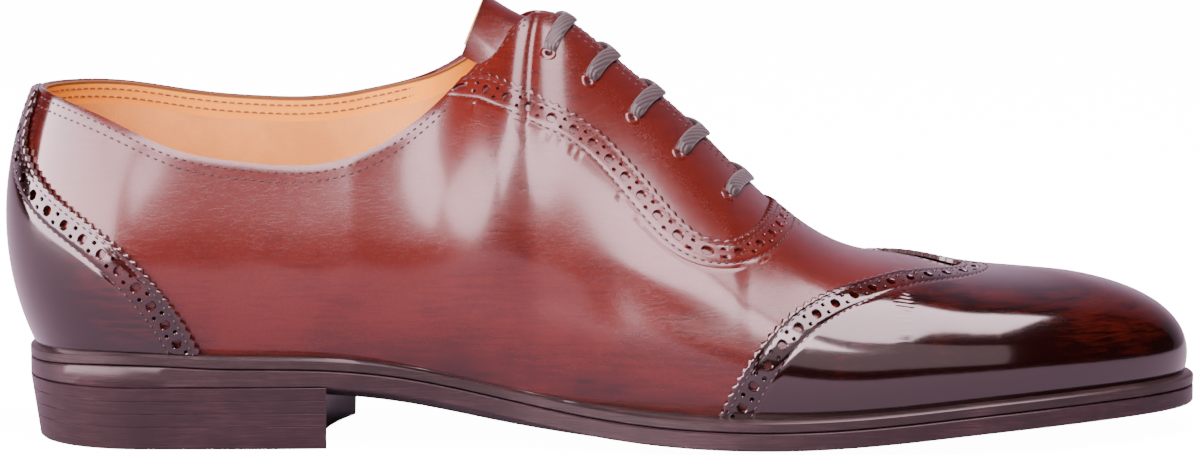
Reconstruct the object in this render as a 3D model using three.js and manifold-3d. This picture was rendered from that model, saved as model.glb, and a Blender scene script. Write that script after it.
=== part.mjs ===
// U-cap oxford, a laced dress shoe for the right foot.
// Millimetres. +X runs to the toe, +Y to the inner side of the foot, +Z up.
// The origin lies on the ground under the middle of the heel.
import * as THREE from "three";
import { mergeVertices } from "three/addons/utils/BufferGeometryUtils.js";
import Module from "manifold-3d";

const wasm = await Module();
wasm.setup();

// Driving sizes of the last
const LAST_LENGTH = 295.8;
const BALL_WIDTH = 86;
const INSTEP_HEIGHT = 92;
const RIM_WIDTH = 57;
const FACING_TOP = 0.438 * LAST_LENGTH;
const THROAT = 0.622 * LAST_LENGTH;
const FACING_GAP = 2;
const TOE_POLE = 38;
const HEEL_ROUND = 30;
const TOE_ROUND = 50;
const RIM_BACK_ROUND = 42;
const RIM_FRONT_ROUND = 48;
const ORIGIN_AHEAD_OF_BACK = 37;

// Driving sizes of the bottom
const TOP_PIECE = 6;
const LIFT = 3.4;
const LIFT_COUNT = 3;
const HEEL_LENGTH = 75;
const BREAST_SKEW = 5.4;
const BREAST_HOLLOW = 4.5;
const HEEL_TAPER = 2.4;
const OUTSOLE = 4.6;
const WELT = 2.6;
const WELT_FALL = 0.8;
const WELT_UNDER = 9;
const EDGE_LIFT = 3;
const TOE_SPRING = 4.4;
const SOLE_REACH = 5;

// Driving sizes of the leather pieces
const WALL = 2.3;
const LASTING_MARGIN = 14;
const LASTING_THICKNESS = 1.8;
const OVERLAY = 1.2;
const FACING_STEP = 1.1;
const INSOLE = 3;
const TONGUE = 1.8;
const TONGUE_WIDTH = 46;
const TONGUE_REACH = 18.8;
const TONGUE_RISE = 8;
const TONGUE_ROUND = 14.5;
const TONGUE_SLANT = 0.4;
const TONGUE_CLEARANCE = 1.05;
const LACE_WIDTH = 4;
const LACE_THICKNESS = 1.3;
const LACE_COUNT = 5;
const EYELET_BORE = 3;
const EYELET_REACH = 16.5;
const LACE_LEAN = 5;
const CLEARANCE = 0.3;
const LAP_CLEARANCE = 0.5;

// Shares of a rib between which an overlay keeps clear of the welt and of the top line
const LAP_LOW = 0.012;
const LAP_HIGH = 0.985;

// Mesh steps
const STATIONS = 40;
const RISES = 8;
const BOTTOM_STATIONS = 36;
const CROWN_COLUMNS = 8;

const HEEL_SEAT = TOP_PIECE + LIFT_COUNT * LIFT;
const OUTSOLE_DEPTH = 2 * CLEARANCE + WELT_FALL + WELT;
const BALL_HEIGHT = EDGE_LIFT + OUTSOLE + OUTSOLE_DEPTH;
const HEEL_RISE = HEEL_SEAT + OUTSOLE + OUTSOLE_DEPTH - BALL_HEIGHT;

// Feather edge, where the upper meets the welt. at is a share of LAST_LENGTH, centre and half
// are shares of BALL_WIDTH, heel is a share of HEEL_RISE and toe a share of TOE_SPRING.
const FEATHER = table(["at", "centre", "half", "heel", "toe"], [
  [0.00, 0.000, 0.343, 1.000, 0.00],
  [0.07, 0.000, 0.346, 1.090, 0.00],
  [0.16, 0.000, 0.344, 1.015, 0.00],
  [0.24, -0.007, 0.333, 0.985, 0.00],
  [0.32, -0.023, 0.308, 0.803, 0.00],
  [0.40, -0.042, 0.298, 0.432, 0.00],
  [0.48, -0.053, 0.335, 0.121, 0.00],
  [0.57, -0.051, 0.423, -0.008, 0.00],
  [0.66, -0.023, 0.493, 0.000, 0.00],
  [0.74, 0.009, 0.493, 0.000, 0.25],
  [0.84, 0.037, 0.428, 0.000, 0.68],
  [0.93, 0.051, 0.358, 0.000, 0.93],
  [1.00, 0.058, 0.308, 0.000, 1.00],
]);

// Top line and crest. centre is a share of BALL_WIDTH, and the two heights over the feather
// edge are shares of INSTEP_HEIGHT.
const CREST = table(["at", "centre", "outer", "inner"], [
  [0.000, 0.000, 0.717, 0.717],
  [0.060, 0.000, 0.645, 0.692],
  [0.120, 0.000, 0.566, 0.664],
  [0.180, 0.000, 0.535, 0.652],
  [0.240, 0.002, 0.529, 0.653],
  [0.300, 0.007, 0.599, 0.703],
  [0.360, 0.009, 0.777, 0.819],
  [0.400, 0.009, 0.944, 0.955],
  [0.430, 0.009, 1.030, 1.035],
  [0.460, 0.009, 1.033, 1.033],
  [0.490, 0.009, 0.975, 0.975],
  [0.520, 0.009, 0.900, 0.900],
  [0.560, 0.012, 0.799, 0.799],
  [0.600, 0.019, 0.674, 0.674],
  [0.640, 0.030, 0.543, 0.543],
  [0.680, 0.044, 0.438, 0.438],
  [0.715, 0.053, 0.381, 0.381],
  [0.760, 0.062, 0.346, 0.346],
  [0.800, 0.065, 0.308, 0.308],
  [0.850, 0.063, 0.281, 0.281],
  [0.900, 0.058, 0.267, 0.267],
]);

// Side walls. swell is a share of BALL_WIDTH, foot and head are the lengths of the curve's two
// handles as shares of its span, and lean is the slope at the top in degrees.
const SIDES = table([
  "at", "outerSwell", "outerFoot", "outerHead", "outerLean",
  "innerSwell", "innerFoot", "innerHead", "innerLean",
], [
  [0.00, 0.120, 0.32, 0.34, 66, 0.120, 0.32, 0.34, 66],
  [0.06, 0.115, 0.32, 0.34, 72, 0.115, 0.32, 0.34, 72],
  [0.14, 0.081, 0.32, 0.34, 80, 0.081, 0.30, 0.34, 80],
  [0.24, 0.081, 0.32, 0.34, 80, 0.081, 0.32, 0.34, 80],
  [0.32, 0.105, 0.34, 0.34, 72, 0.081, 0.36, 0.34, 72],
  [0.38, 0.128, 0.34, 0.34, 52, 0.081, 0.42, 0.34, 48],
  [0.42, 0.140, 0.34, 0.32, 32, 0.081, 0.45, 0.30, 22],
  [0.47, 0.140, 0.34, 0.30, 17, 0.081, 0.48, 0.28, 0],
  [0.55, 0.116, 0.36, 0.34, 12, 0.081, 0.48, 0.30, -7],
  [0.63, 0.093, 0.38, 0.38, 5, 0.081, 0.48, 0.34, -4],
  [0.72, 0.070, 0.40, 0.44, 0, 0.070, 0.46, 0.42, 0],
  [0.86, 0.070, 0.42, 0.42, 0, 0.070, 0.46, 0.42, 0],
  [1.00, 0.062, 0.40, 0.30, 0, 0.062, 0.40, 0.30, 0],
]);

// How far the sole stands out from the feather edge, as shares of SOLE_REACH, and how far its
// underside is rounded down below its edge, as a share of OUTSOLE.
const SOLE = table(["at", "outer", "inner", "crown"], [
  [0.00, 0.60, 0.60, 1.10],
  [0.10, 0.48, 0.48, 1.10],
  [0.20, 0.46, 0.40, 1.10],
  [0.27, 0.30, 0.20, 1.12],
  [0.34, 0.04, -0.10, 1.09],
  [0.42, 0.00, -0.14, 0.98],
  [0.49, 0.50, 0.12, 0.78],
  [0.56, 0.96, 0.50, 0.72],
  [0.65, 1.04, 0.74, 0.72],
  [0.80, 0.92, 0.80, 0.82],
  [0.92, 0.84, 0.78, 0.60],
  [1.00, 0.80, 0.80, 0.20],
]);

// Rear edge of the toe cap: along is its place on the feather outline from heel to toe, and rise
// its place up the side, 0 at the feather edge and 1 at the crest.
const CAP_EDGE = table(["rise", "along"], [
  [0.00, 0.583],
  [0.10, 0.596],
  [0.18, 0.608],
  [0.33, 0.631],
  [0.48, 0.659],
  [0.63, 0.693],
  [0.75, 0.727],
  [0.88, 0.765],
  [0.95, 0.780],
  [1.00, 0.785],
]);

// Front edge of the heel counter, on the same two measures
const COUNTER_EDGE = table(["rise", "along"], [
  [0.00, 0.184],
  [0.12, 0.175],
  [0.24, 0.163],
  [0.36, 0.147],
  [0.48, 0.125],
  [0.56, 0.104],
  [0.64, 0.078],
  [0.72, 0.056],
  [0.80, 0.040],
  [0.90, 0.033],
  [1.00, 0.028],
]);

// Lower border of the facing, where the quarter lies over it
const FACING_EDGE = table(["along", "rise"], [
  [0.385, 0.98],
  [0.403, 0.90],
  [0.420, 0.80],
  [0.440, 0.72],
  [0.471, 0.68],
  [0.500, 0.68],
  [0.522, 0.66],
  [0.545, 0.61],
  [0.566, 0.555],
  [0.580, 0.540],
  [0.594, 0.560],
  [0.606, 0.610],
  [0.616, 0.690],
  [0.624, 0.820],
  [0.628, 0.985],
]);

// Reads a table of rows into named columns, each a list
function table(names, rows) {
  return Object.fromEntries(names.map((name, column) => [name, rows.map((row) => row[column])]));
}

// Natural cubic spline through values at the given places, held level beyond both ends
function spline(places, values) {
  const last = places.length - 1;
  const bend = new Array(last + 1).fill(0);
  const sweep = new Array(last + 1).fill(0);
  for (let i = 1; i < last; i++) {
    const before = places[i] - places[i - 1];
    const after = places[i + 1] - places[i];
    const turn = (values[i + 1] - values[i]) / after - (values[i] - values[i - 1]) / before;
    const pivot = 2 * (before + after) - before * sweep[i - 1];
    sweep[i] = after / pivot;
    bend[i] = (6 * turn - before * bend[i - 1]) / pivot;
  }
  for (let i = last - 1; i > 0; i--) {
    bend[i] -= sweep[i] * bend[i + 1];
  }
  return (place) => {
    const at = THREE.MathUtils.clamp(place, places[0], places[last]);
    let i = 0;
    while (i < last - 1 && places[i + 1] < at) {
      i += 1;
    }
    const span = places[i + 1] - places[i];
    const left = (places[i + 1] - at) / span;
    const right = (at - places[i]) / span;
    const curve = (left ** 3 - left) * bend[i] + (right ** 3 - right) * bend[i + 1];
    return left * values[i] + right * values[i + 1] + (curve * span * span) / 6;
  };
}

const columns = (named) => {
  const { at, ...rest } = named;
  return Object.fromEntries(Object.keys(rest).map((name) => [name, spline(at, rest[name])]));
};
const feather = columns(FEATHER);
const crest = columns(CREST);
const sides = columns(SIDES);
const sole = columns(SOLE);
const capEdge = spline(CAP_EDGE.rise, CAP_EDGE.along);
const counterEdge = spline(COUNTER_EDGE.rise, COUNTER_EDGE.along);
const facingEdge = spline(FACING_EDGE.along, FACING_EDGE.rise);

// Rounded end of an outline: 1 inside, falling to 0 at the end like part of a superellipse
function rounded(distance, reach, power) {
  const missing = THREE.MathUtils.clamp(1 - distance / reach, 0, 1);
  return (1 - missing ** power) ** (1 / power);
}

// Height of the feather edge over the ground at x along the last
function featherHeight(x) {
  const at = x / LAST_LENGTH;
  return BALL_HEIGHT + HEEL_RISE * feather.heel(at) + TOE_SPRING * feather.toe(at);
}

// Y of the feather edge on one side: -1 is the outer side, +1 the inner
function featherY(x, side) {
  const at = x / LAST_LENGTH;
  const ends = rounded(x, HEEL_ROUND, 2.2) * rounded(LAST_LENGTH - x, TOE_ROUND, 2.1);
  return BALL_WIDTH * (feather.centre(at) + side * feather.half(at) * ends);
}

// Outward normal of the feather outline, in plan
function featherNormal(x, side) {
  const step = 0.02;
  if (x < step / 2 || x > LAST_LENGTH - step / 2) {
    return new THREE.Vector2(x < step ? -1 : 1, 0);
  }
  const from = Math.max(x - step, 0);
  const to = Math.min(x + step, LAST_LENGTH);
  const run = featherY(to, side) - featherY(from, side);
  return new THREE.Vector2(-side * run, side * (to - from)).normalize();
}

// Half the width between the two edges of the top line, of the facings, or 0 beyond the throat
function openHalf(x) {
  const back = rounded(x, RIM_BACK_ROUND, 2);
  const front = rounded(FACING_TOP - x, RIM_FRONT_ROUND, 1.8);
  const collar = (RIM_WIDTH / 2) * back * front;
  const facing = (FACING_GAP / 2) * THREE.MathUtils.clamp((THROAT - x) / 3, 0, 1);
  return x < FACING_TOP / 2 ? collar : Math.max(collar, facing);
}

// X of the top of the rib that starts at x: over the toe the ribs run together to a pole
function crestX(x) {
  const start = LAST_LENGTH - 2 * TOE_POLE;
  if (x < start) {
    return x;
  }
  const share = (x - start) / (2 * TOE_POLE);
  return start + TOE_POLE * share * (2 - share);
}

function crestHeight(x, side) {
  const at = x / LAST_LENGTH;
  return featherHeight(x) + INSTEP_HEIGHT * (side < 0 ? crest.outer(at) : crest.inner(at));
}

// One rib of the upper: a cubic curve from the feather edge at x to the top line or the crest.
// rise runs from 0 at the feather edge to 1 at the top.
function ribPoint(x, side, rise) {
  const at = x / LAST_LENGTH;
  const part = side < 0 ? "outer" : "inner";
  const out = featherNormal(x, side);
  const foot = new THREE.Vector3(x, featherY(x, side), featherHeight(x));
  const topX = crestX(x);
  const topY = BALL_WIDTH * crest.centre(topX / LAST_LENGTH) + side * openHalf(topX);
  const top = new THREE.Vector3(topX, topY, crestHeight(topX, side));
  const span = foot.distanceTo(top);
  const swell = BALL_WIDTH * sides[part + "Swell"](at);
  const lean = THREE.MathUtils.degToRad(sides[part + "Lean"](at));
  const head = span * sides[part + "Head"](at);
  const fall = topX < x ? (crestHeight(topX + 0.1, side) - crestHeight(topX - 0.1, side)) / 0.2 : 0;
  const outward = head * Math.cos(lean);
  const low = new THREE.Vector3(out.x * swell, out.y * swell, span * sides[part + "Foot"](at)).add(foot);
  const high = new THREE.Vector3(
    top.x + out.x * outward,
    top.y + out.y * outward,
    top.z - head * Math.sin(lean) + fall * out.x * outward,
  );
  const curve = new THREE.CubicBezierCurve3(foot, low, high, top);
  return curve.getPoint(rise);
}

// X at each share of the feather outline's own length, from heel to toe, on each side
function outlineShares(side) {
  const steps = 600;
  const places = [];
  const lengths = [0];
  for (let i = 0; i <= steps; i++) {
    const x = (LAST_LENGTH * (1 - Math.cos((Math.PI * i) / steps))) / 2;
    places.push(x);
    if (i > 0) {
      const run = x - places[i - 1];
      lengths.push(lengths[i - 1] + Math.hypot(run, featherY(x, side) - featherY(places[i - 1], side)));
    }
  }
  return { places, shares: lengths.map((length) => length / lengths[steps]) };
}
const OUTLINES = { "-1": outlineShares(-1), 1: outlineShares(1) };

function xAlong(share, side) {
  const { places, shares } = OUTLINES[side];
  let i = 1;
  while (i < shares.length - 1 && shares[i] < share) {
    i += 1;
  }
  const part = (share - shares[i - 1]) / (shares[i] - shares[i - 1]);
  return THREE.MathUtils.lerp(places[i - 1], places[i], THREE.MathUtils.clamp(part, 0, 1));
}

// Share of the outline's length at which it has come to x
function shareAt(x, side) {
  const { places, shares } = OUTLINES[side];
  const i = places.findIndex((place) => place >= x);
  const part = (x - places[i - 1]) / (places[i] - places[i - 1]);
  return THREE.MathUtils.lerp(shares[i - 1], shares[i], part);
}

// The outer face of vamp and quarters. along goes round the shoe: 0 at the heel, 1 at the toe by
// the outer side, and back to 2 by the inner side.
function ribRound(along, rise) {
  const turn = ((along % 2) + 2) % 2;
  return turn <= 1 ? ribPoint(xAlong(turn, -1), -1, rise) : ribPoint(xAlong(2 - turn, 1), 1, rise);
}

// The same face moved out along its own normal
function skin(along, rise, offset) {
  const step = 0.002;
  const inside = THREE.MathUtils.clamp(rise, 2 * step, 1 - 2 * step);
  const around = ribRound(along + step, inside).sub(ribRound(along - step, inside));
  const up = ribRound(along, inside + step).sub(ribRound(along, inside - step));
  const normal = around.cross(up).normalize();
  return ribRound(along, rise).addScaledVector(normal, offset);
}

// On the closed crest both sides share one point
function skinPoint(along, rise, offset) {
  const point = skin(along, rise, offset);
  const turn = along <= 1 ? along : 2 - along;
  if (rise === 1 && turn > 0 && openHalf(crestX(xAlong(turn, -1))) === 0) {
    return point.add(skin(2 - along, rise, offset)).multiplyScalar(0.5);
  }
  return point;
}

// Merged vertices and no empty triangles
function cleanGeometry(positions, indices) {
  const raw = new THREE.BufferGeometry();
  raw.setAttribute("position", new THREE.Float32BufferAttribute(positions, 3));
  raw.setIndex(indices);
  const merged = mergeVertices(raw, 1e-3);
  const old = merged.getIndex().array;
  const kept = [];
  for (let i = 0; i < old.length; i += 3) {
    const [a, b, c] = [old[i], old[i + 1], old[i + 2]];
    if (a !== b && b !== c && c !== a) {
      kept.push(a, b, c);
    }
  }
  merged.setIndex(kept);
  return merged;
}

// A closed solid between two grids of points of one size, with walls along their borders. Rows
// and columns turn so that the first grid faces out. A last row that meets itself has no wall.
function between(outerGrid, innerGrid, foldedLast = false) {
  const rows = outerGrid.length;
  const cols = outerGrid[0].length;
  const points = [...outerGrid.flat(), ...innerGrid.flat()];
  const outer = (i, j) => i * cols + j;
  const inner = (i, j) => rows * cols + i * cols + j;
  const faces = [];
  const quad = (a, b, c, d) => faces.push(a, b, c, a, c, d);
  for (let i = 0; i < rows - 1; i++) {
    for (let j = 0; j < cols - 1; j++) {
      quad(outer(i, j), outer(i + 1, j), outer(i + 1, j + 1), outer(i, j + 1));
      quad(inner(i, j), inner(i, j + 1), inner(i + 1, j + 1), inner(i + 1, j));
    }
  }
  for (let i = 0; i < rows - 1; i++) {
    quad(outer(i, 0), inner(i, 0), inner(i + 1, 0), outer(i + 1, 0));
    quad(outer(i, cols - 1), outer(i + 1, cols - 1), inner(i + 1, cols - 1), inner(i, cols - 1));
  }
  for (let j = 0; j < cols - 1; j++) {
    quad(outer(0, j), outer(0, j + 1), inner(0, j + 1), inner(0, j));
    if (!foldedLast) {
      quad(outer(rows - 1, j), inner(rows - 1, j), inner(rows - 1, j + 1), outer(rows - 1, j + 1));
    }
  }
  return cleanGeometry(points.flatMap((point) => point.toArray()), faces);
}

// A closed solid through sections of one size, joined in a ring
function ring(sections) {
  const count = sections[0].length;
  const faces = [];
  sections.forEach((section, i) => {
    const here = i * count;
    const next = ((i + 1) % sections.length) * count;
    for (let j = 0; j < count; j++) {
      const k = (j + 1) % count;
      faces.push(here + j, next + k, next + j, here + j, here + k, next + k);
    }
  });
  return cleanGeometry(sections.flat().flatMap((point) => point.toArray()), faces);
}

function solidOf(geometry) {
  const plain = geometry.clone();
  plain.deleteAttribute("normal");
  plain.deleteAttribute("uv");
  const merged = mergeVertices(plain, 1e-3);
  const vertProperties = new Float32Array(merged.getAttribute("position").array);
  const triVerts = new Uint32Array(merged.getIndex().array);
  return new wasm.Manifold(new wasm.Mesh({ numProp: 3, vertProperties, triVerts }));
}

function geometryOf(solid) {
  const mesh = solid.getMesh();
  const geometry = new THREE.BufferGeometry();
  geometry.setAttribute("position", new THREE.Float32BufferAttribute(mesh.vertProperties, 3));
  geometry.setIndex(Array.from(mesh.triVerts));
  return geometry;
}

// An upright prism over an outline in plan
function prism(outline, bottom, top) {
  const shape = new THREE.Shape(outline);
  const geometry = new THREE.ExtrudeGeometry(shape, { depth: top - bottom, bevelEnabled: false });
  return geometry.translate(0, 0, bottom);
}

const steps = (count) => Array.from({ length: count + 1 }, (_, i) => i / count);

// The whole form of the last at one offset from the outer face, closed over collar and bottom.
// With a floor, its lowest points are lifted to that height over the feather edge.
function lastForm(offset, floor) {
  const section = (share) => {
    const half = (along) => steps(RISES).map((rise) => {
      const point = skinPoint(along, rise, offset);
      if (floor !== undefined && rise === 0) {
        point.z = featherHeight(xAlong(share, along <= 1 ? -1 : 1)) + floor;
      }
      return point;
    });
    return [...half(share), ...half(share === 0 ? 0 : 2 - share).reverse()];
  };
  const grid = steps(STATIONS).map(section);
  const cols = grid[0].length;
  const faces = [];
  for (let i = 0; i < STATIONS; i++) {
    for (let j = 0; j < cols; j++) {
      const k = (j + 1) % cols;
      const [a, b] = [i * cols + j, (i + 1) * cols + j];
      const [c, d] = [(i + 1) * cols + k, i * cols + k];
      faces.push(a, b, c, a, c, d);
    }
  }
  return solidOf(cleanGeometry(grid.flat().flatMap((point) => point.toArray()), faces));
}

// Points of an outline around the whole shoe, at a distance out from the feather edge
function planPoint(along, out) {
  const side = along <= 1 ? -1 : 1;
  const x = xAlong(along <= 1 ? along : 2 - along, side);
  const normal = featherNormal(x, side);
  return new THREE.Vector2(x + normal.x * out, featherY(x, side) + normal.y * out);
}

// Plan of the collar's opening, inside the wall
function mouthOutline() {
  const count = 22;
  const rim = (x, side) => new THREE.Vector2(
    x,
    BALL_WIDTH * crest.centre(x / LAST_LENGTH) + side * openHalf(x),
  );
  const spread = (i) => (FACING_TOP * (1 - Math.cos((Math.PI * i) / count))) / 2;
  const outer = steps(count).map((_, i) => rim(spread(i), -1));
  const inner = steps(count).map((_, i) => rim(spread(count - i), 1)).slice(1, -1);
  const loop = [...outer, ...inner];
  return loop.map((point, i) => {
    const before = loop[(i + loop.length - 1) % loop.length];
    const after = loop[(i + 1) % loop.length];
    const along = after.clone().sub(before).normalize();
    return new THREE.Vector2(point.x - along.y * WALL, point.y + along.x * WALL);
  }).filter((point, i, all) => {
    const centre = BALL_WIDTH * crest.centre(point.x / LAST_LENGTH);
    const outerHalf = i <= count ? centre - point.y : point.y - centre;
    return i === 0 || outerHalf > 0 || i === all.length;
  });
}

// Plan of the slot between the two facings
function facingSlot() {
  const places = steps(12).map((share) => THREE.MathUtils.lerp(FACING_TOP - 4, THROAT, share));
  const edge = (side) => places.map((x) => new THREE.Vector2(
    x,
    BALL_WIDTH * crest.centre(x / LAST_LENGTH) + (side * FACING_GAP) / 2,
  ));
  return [...edge(-1), ...edge(1).reverse()];
}

// What the step takes away above the facing, from below its face to well above it
function facingRecess() {
  const first = FACING_EDGE.along[0];
  const last = FACING_EDGE.along.at(-1);
  const rows = steps(20).map((share) => THREE.MathUtils.lerp(first, last, share));
  const grid = (offset) => rows.map((along) => {
    const low = facingEdge(along);
    const climb = steps(3).map((share) => THREE.MathUtils.lerp(low, 1, share));
    const outer = climb.map((rise) => skinPoint(along, rise, offset));
    const x = xAlong(along, -1);
    const innerAlong = 2 - shareAt(x, 1);
    const inner = climb.map((rise) => skinPoint(innerAlong, rise, offset)).reverse();
    return [...outer, ...inner];
  });
  return solidOf(between(grid(2 * OVERLAY), grid(-FACING_STEP)));
}

// Rise on the rib at x whose distance from the top, along the rib, is the given length
function riseBelowTop(x, side, distance) {
  const count = 60;
  let run = 0;
  let previous = ribPoint(x, side, 1);
  for (let i = 1; i <= count; i++) {
    const rise = 1 - i / count;
    const point = ribPoint(x, side, rise);
    const step = point.distanceTo(previous);
    if (run + step >= distance) {
      return rise + (1 - (distance - run) / step) / count;
    }
    run += step;
    previous = point;
  }
  return 0;
}

const onSide = (x, side, rise, offset) => {
  const share = shareAt(x, side);
  return skinPoint(side < 0 ? share : 2 - share, rise, offset);
};

// Where each lace bar crosses the crest, and its two eyelets
const laceX = (row) => {
  const first = FACING_TOP + 10.5;
  const last = THROAT - 2.5;
  return THREE.MathUtils.lerp(first, last, row / (LACE_COUNT - 1));
};
const eyelet = (row, side) => {
  const x = laceX(row) - LACE_LEAN;
  return { x, rise: riseBelowTop(x, side, EYELET_REACH) };
};

function eyeletBore(row, side) {
  const { x, rise } = eyelet(row, side);
  const middle = onSide(x, side, rise, -WALL / 2);
  const normal = onSide(x, side, rise, 1).sub(onSide(x, side, rise, 0)).normalize();
  const bore = new THREE.CylinderGeometry(EYELET_BORE / 2, EYELET_BORE / 2, 4 * WALL, 10);
  bore.applyQuaternion(new THREE.Quaternion().setFromUnitVectors(new THREE.Vector3(0, 1, 0), normal));
  return solidOf(bore.translate(middle.x, middle.y, middle.z));
}

function upper() {
  const ceiling = 2 * INSTEP_HEIGHT;
  const mouthFloor = HEEL_SEAT + INSTEP_HEIGHT * 0.47;
  const shell = lastForm(0).subtract(lastForm(-WALL, LASTING_THICKNESS));
  const opening = steps(36).slice(0, -1).map((share) => planPoint(2 * share, -LASTING_MARGIN));
  let solid = shell
    .subtract(facingRecess())
    .subtract(solidOf(prism(mouthOutline(), mouthFloor, ceiling)))
    .subtract(solidOf(prism(facingSlot(), mouthFloor, ceiling)))
    .subtract(solidOf(prism(opening, -1, HEEL_SEAT + LASTING_MARGIN)));
  for (let row = 0; row < LACE_COUNT; row++) {
    solid = solid.subtract(eyeletBore(row, -1)).subtract(eyeletBore(row, 1));
  }
  return geometryOf(solid);
}

// A leather overlay on the outer face. Its two borders run round the shoe at the given along
// for each rise, and its crest is closed where the upper's is.
function overlay(from, to, rises, columnsCount, closedTop) {
  const grid = (offset) => rises.map((rise) => steps(columnsCount).map((share) => {
    const along = THREE.MathUtils.lerp(to(rise), from(rise), share);
    return skinPoint(((along % 2) + 2) % 2, rise, offset);
  }));
  return between(grid(LAP_CLEARANCE + OVERLAY), grid(LAP_CLEARANCE), closedTop);
}

function toeCap() {
  return overlay((rise) => capEdge(rise), (rise) => 2 - capEdge(rise), steps(RISES), 36, true);
}

function heelCounter() {
  const rises = steps(14).map((share) => THREE.MathUtils.clamp(share, LAP_LOW, LAP_HIGH));
  return overlay((rise) => -counterEdge(rise), (rise) => counterEdge(rise), rises, 18, false);
}

// The tongue: a sheet that follows the facings' underside, and beyond them rises and rounds in
// to an arch with a slanting end
function tongue() {
  const depth = WALL + TONGUE_CLEARANCE;
  const under = FACING_TOP + 6;
  const front = THROAT + 9;
  const arcs = steps(8).map((share) => (0.5 - share) * TONGUE_WIDTH);
  const sheetPoint = (x, arc, offset) => {
    const side = arc < 0 ? -1 : 1;
    return onSide(x, side, riseBelowTop(x, side, Math.abs(arc) + 0.01), offset);
  };
  const grid = (offset) => {
    const covered = steps(9).map((share) => {
      const x = THREE.MathUtils.lerp(front, under, share);
      return arcs.map((arc) => sheetPoint(x, arc, offset));
    });
    const base = covered.at(-1);
    const middle = sheetPoint(under, 0, -depth);
    const free = steps(5).slice(1).map((share) => base.map((point, j) => {
      const path = new THREE.Vector3(-TONGUE_REACH * share, 0, TONGUE_RISE * share ** 1.8);
      const turn = arcs[j] / TONGUE_ROUND;
      const round = TONGUE_ROUND + offset + depth;
      const drop = TONGUE_ROUND - round * Math.cos(turn);
      const arch = new THREE.Vector3(-TONGUE_SLANT * drop, round * Math.sin(turn), -drop);
      return point.clone().lerp(arch.add(middle), share).add(path);
    }));
    return [...covered, ...free];
  };
  return between(grid(-depth), grid(-depth - TONGUE));
}

// A row of points from the outer to the inner edge, bowed back in the middle
function rowAcross(outer, inner, bow, columnsCount, height) {
  return steps(columnsCount).map((share) => {
    const across = 2 * share - 1;
    const x = THREE.MathUtils.lerp(outer.x, inner.x, share) - bow * (1 - across * across);
    const y = THREE.MathUtils.lerp(outer.y, inner.y, share);
    return new THREE.Vector3(x, y, height(x, Math.abs(across)));
  });
}

const reachOf = (x, side) => SOLE_REACH * (side < 0 ? sole.outer : sole.inner)(x / LAST_LENGTH);

function soleEdge(x, side, inset) {
  const normal = featherNormal(x, side);
  const out = reachOf(x, side) - inset;
  return new THREE.Vector2(x + normal.x * out, featherY(x, side) + normal.y * out);
}

// Last x of the heel on each side: its breast runs askew, further forward on the inner side
const breastAt = (side) => HEEL_LENGTH + (side > 0 ? BREAST_SKEW : 0);

function insole() {
  const low = LASTING_THICKNESS + CLEARANCE;
  const grid = (rise) => steps(28).map((share) => {
    const inset = -WALL - 2 * CLEARANCE;
    const outer = planPoint(share, inset);
    const inner = planPoint(share === 0 ? 0 : 2 - share, inset);
    return rowAcross(outer, inner, 0, 2, (x) => featherHeight(x) + rise);
  });
  return between(grid(low + INSOLE), grid(low));
}

function welt() {
  const depth = CLEARANCE + WELT_FALL + WELT;
  const sections = steps(2 * BOTTOM_STATIONS).slice(0, -1).map((share) => {
    const along = 2 * share;
    const side = along <= 1 ? -1 : 1;
    const x = xAlong(along <= 1 ? along : 2 - along, side);
    const outer = planPoint(along, reachOf(x, side));
    const step = planPoint(along, 0);
    const inner = planPoint(along, -WELT_UNDER);
    const below = ({ x, y }, drop) => new THREE.Vector3(x, y, featherHeight(x) - drop);
    return [
      below(inner, CLEARANCE),
      below(step, CLEARANCE),
      below(outer, CLEARANCE + WELT_FALL),
      below(outer, depth),
      below(inner, depth),
    ];
  });
  return ring(sections);
}

const edgeBottom = (x) => (x < HEEL_LENGTH ? HEEL_SEAT : featherHeight(x) - OUTSOLE_DEPTH - OUTSOLE);

// Outsole: a slab of even thickness, joined to the rounded underside that starts at the heel
function outsole() {
  const shares = steps(BOTTOM_STATIONS);
  const slab = (height) => shares.map((share) => {
    const edge = (side) => soleEdge(xAlong(share, side), side, 0);
    return rowAcross(edge(-1), edge(1), 0, 2, height);
  });
  const plate = between(slab((x) => featherHeight(x) - OUTSOLE_DEPTH), slab(edgeBottom));
  const under = (height) => steps(28).map((share) => {
    const edge = (side) => {
      const from = shareAt(breastAt(side) + CLEARANCE, side);
      const along = THREE.MathUtils.lerp(from, 1, share);
      return soleEdge(xAlong(along, side), side, OUTSOLE * 0.15);
    };
    return rowAcross(edge(-1), edge(1), BREAST_HOLLOW * (1 - share) ** 6, CROWN_COLUMNS, height);
  });
  const inside = (x) => featherHeight(x) - OUTSOLE_DEPTH - OUTSOLE / 2;
  const rounding = (x, across) => {
    const depth = OUTSOLE * sole.crown(x / LAST_LENGTH) * (1 - across ** 2.4);
    const edge = featherHeight(x) - OUTSOLE_DEPTH - OUTSOLE * 0.95;
    return Math.max(edge - depth, 0);
  };
  const crown = between(under(inside), under(rounding));
  const seat = (height) => heelOutline(height, -CLEARANCE, CLEARANCE);
  const heelSpace = block(seat(-1), seat(HEEL_SEAT));
  return geometryOf(solidOf(plate).add(solidOf(crown)).subtract(solidOf(heelSpace)));
}

// A closed solid between two level outlines of as many points
function block(low, high) {
  const count = low.length;
  const faces = [];
  for (let i = 0; i < count; i++) {
    const next = (i + 1) % count;
    faces.push(i, next, count + next, i, count + next, count + i);
  }
  const flat = high.map((point) => new THREE.Vector2(point.x, point.y));
  for (const [a, b, c] of THREE.ShapeUtils.triangulateShape(flat, [])) {
    faces.push(count + a, count + b, count + c, a, c, b);
  }
  return cleanGeometry([...low, ...high].flatMap((point) => point.toArray()), faces);
}

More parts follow.
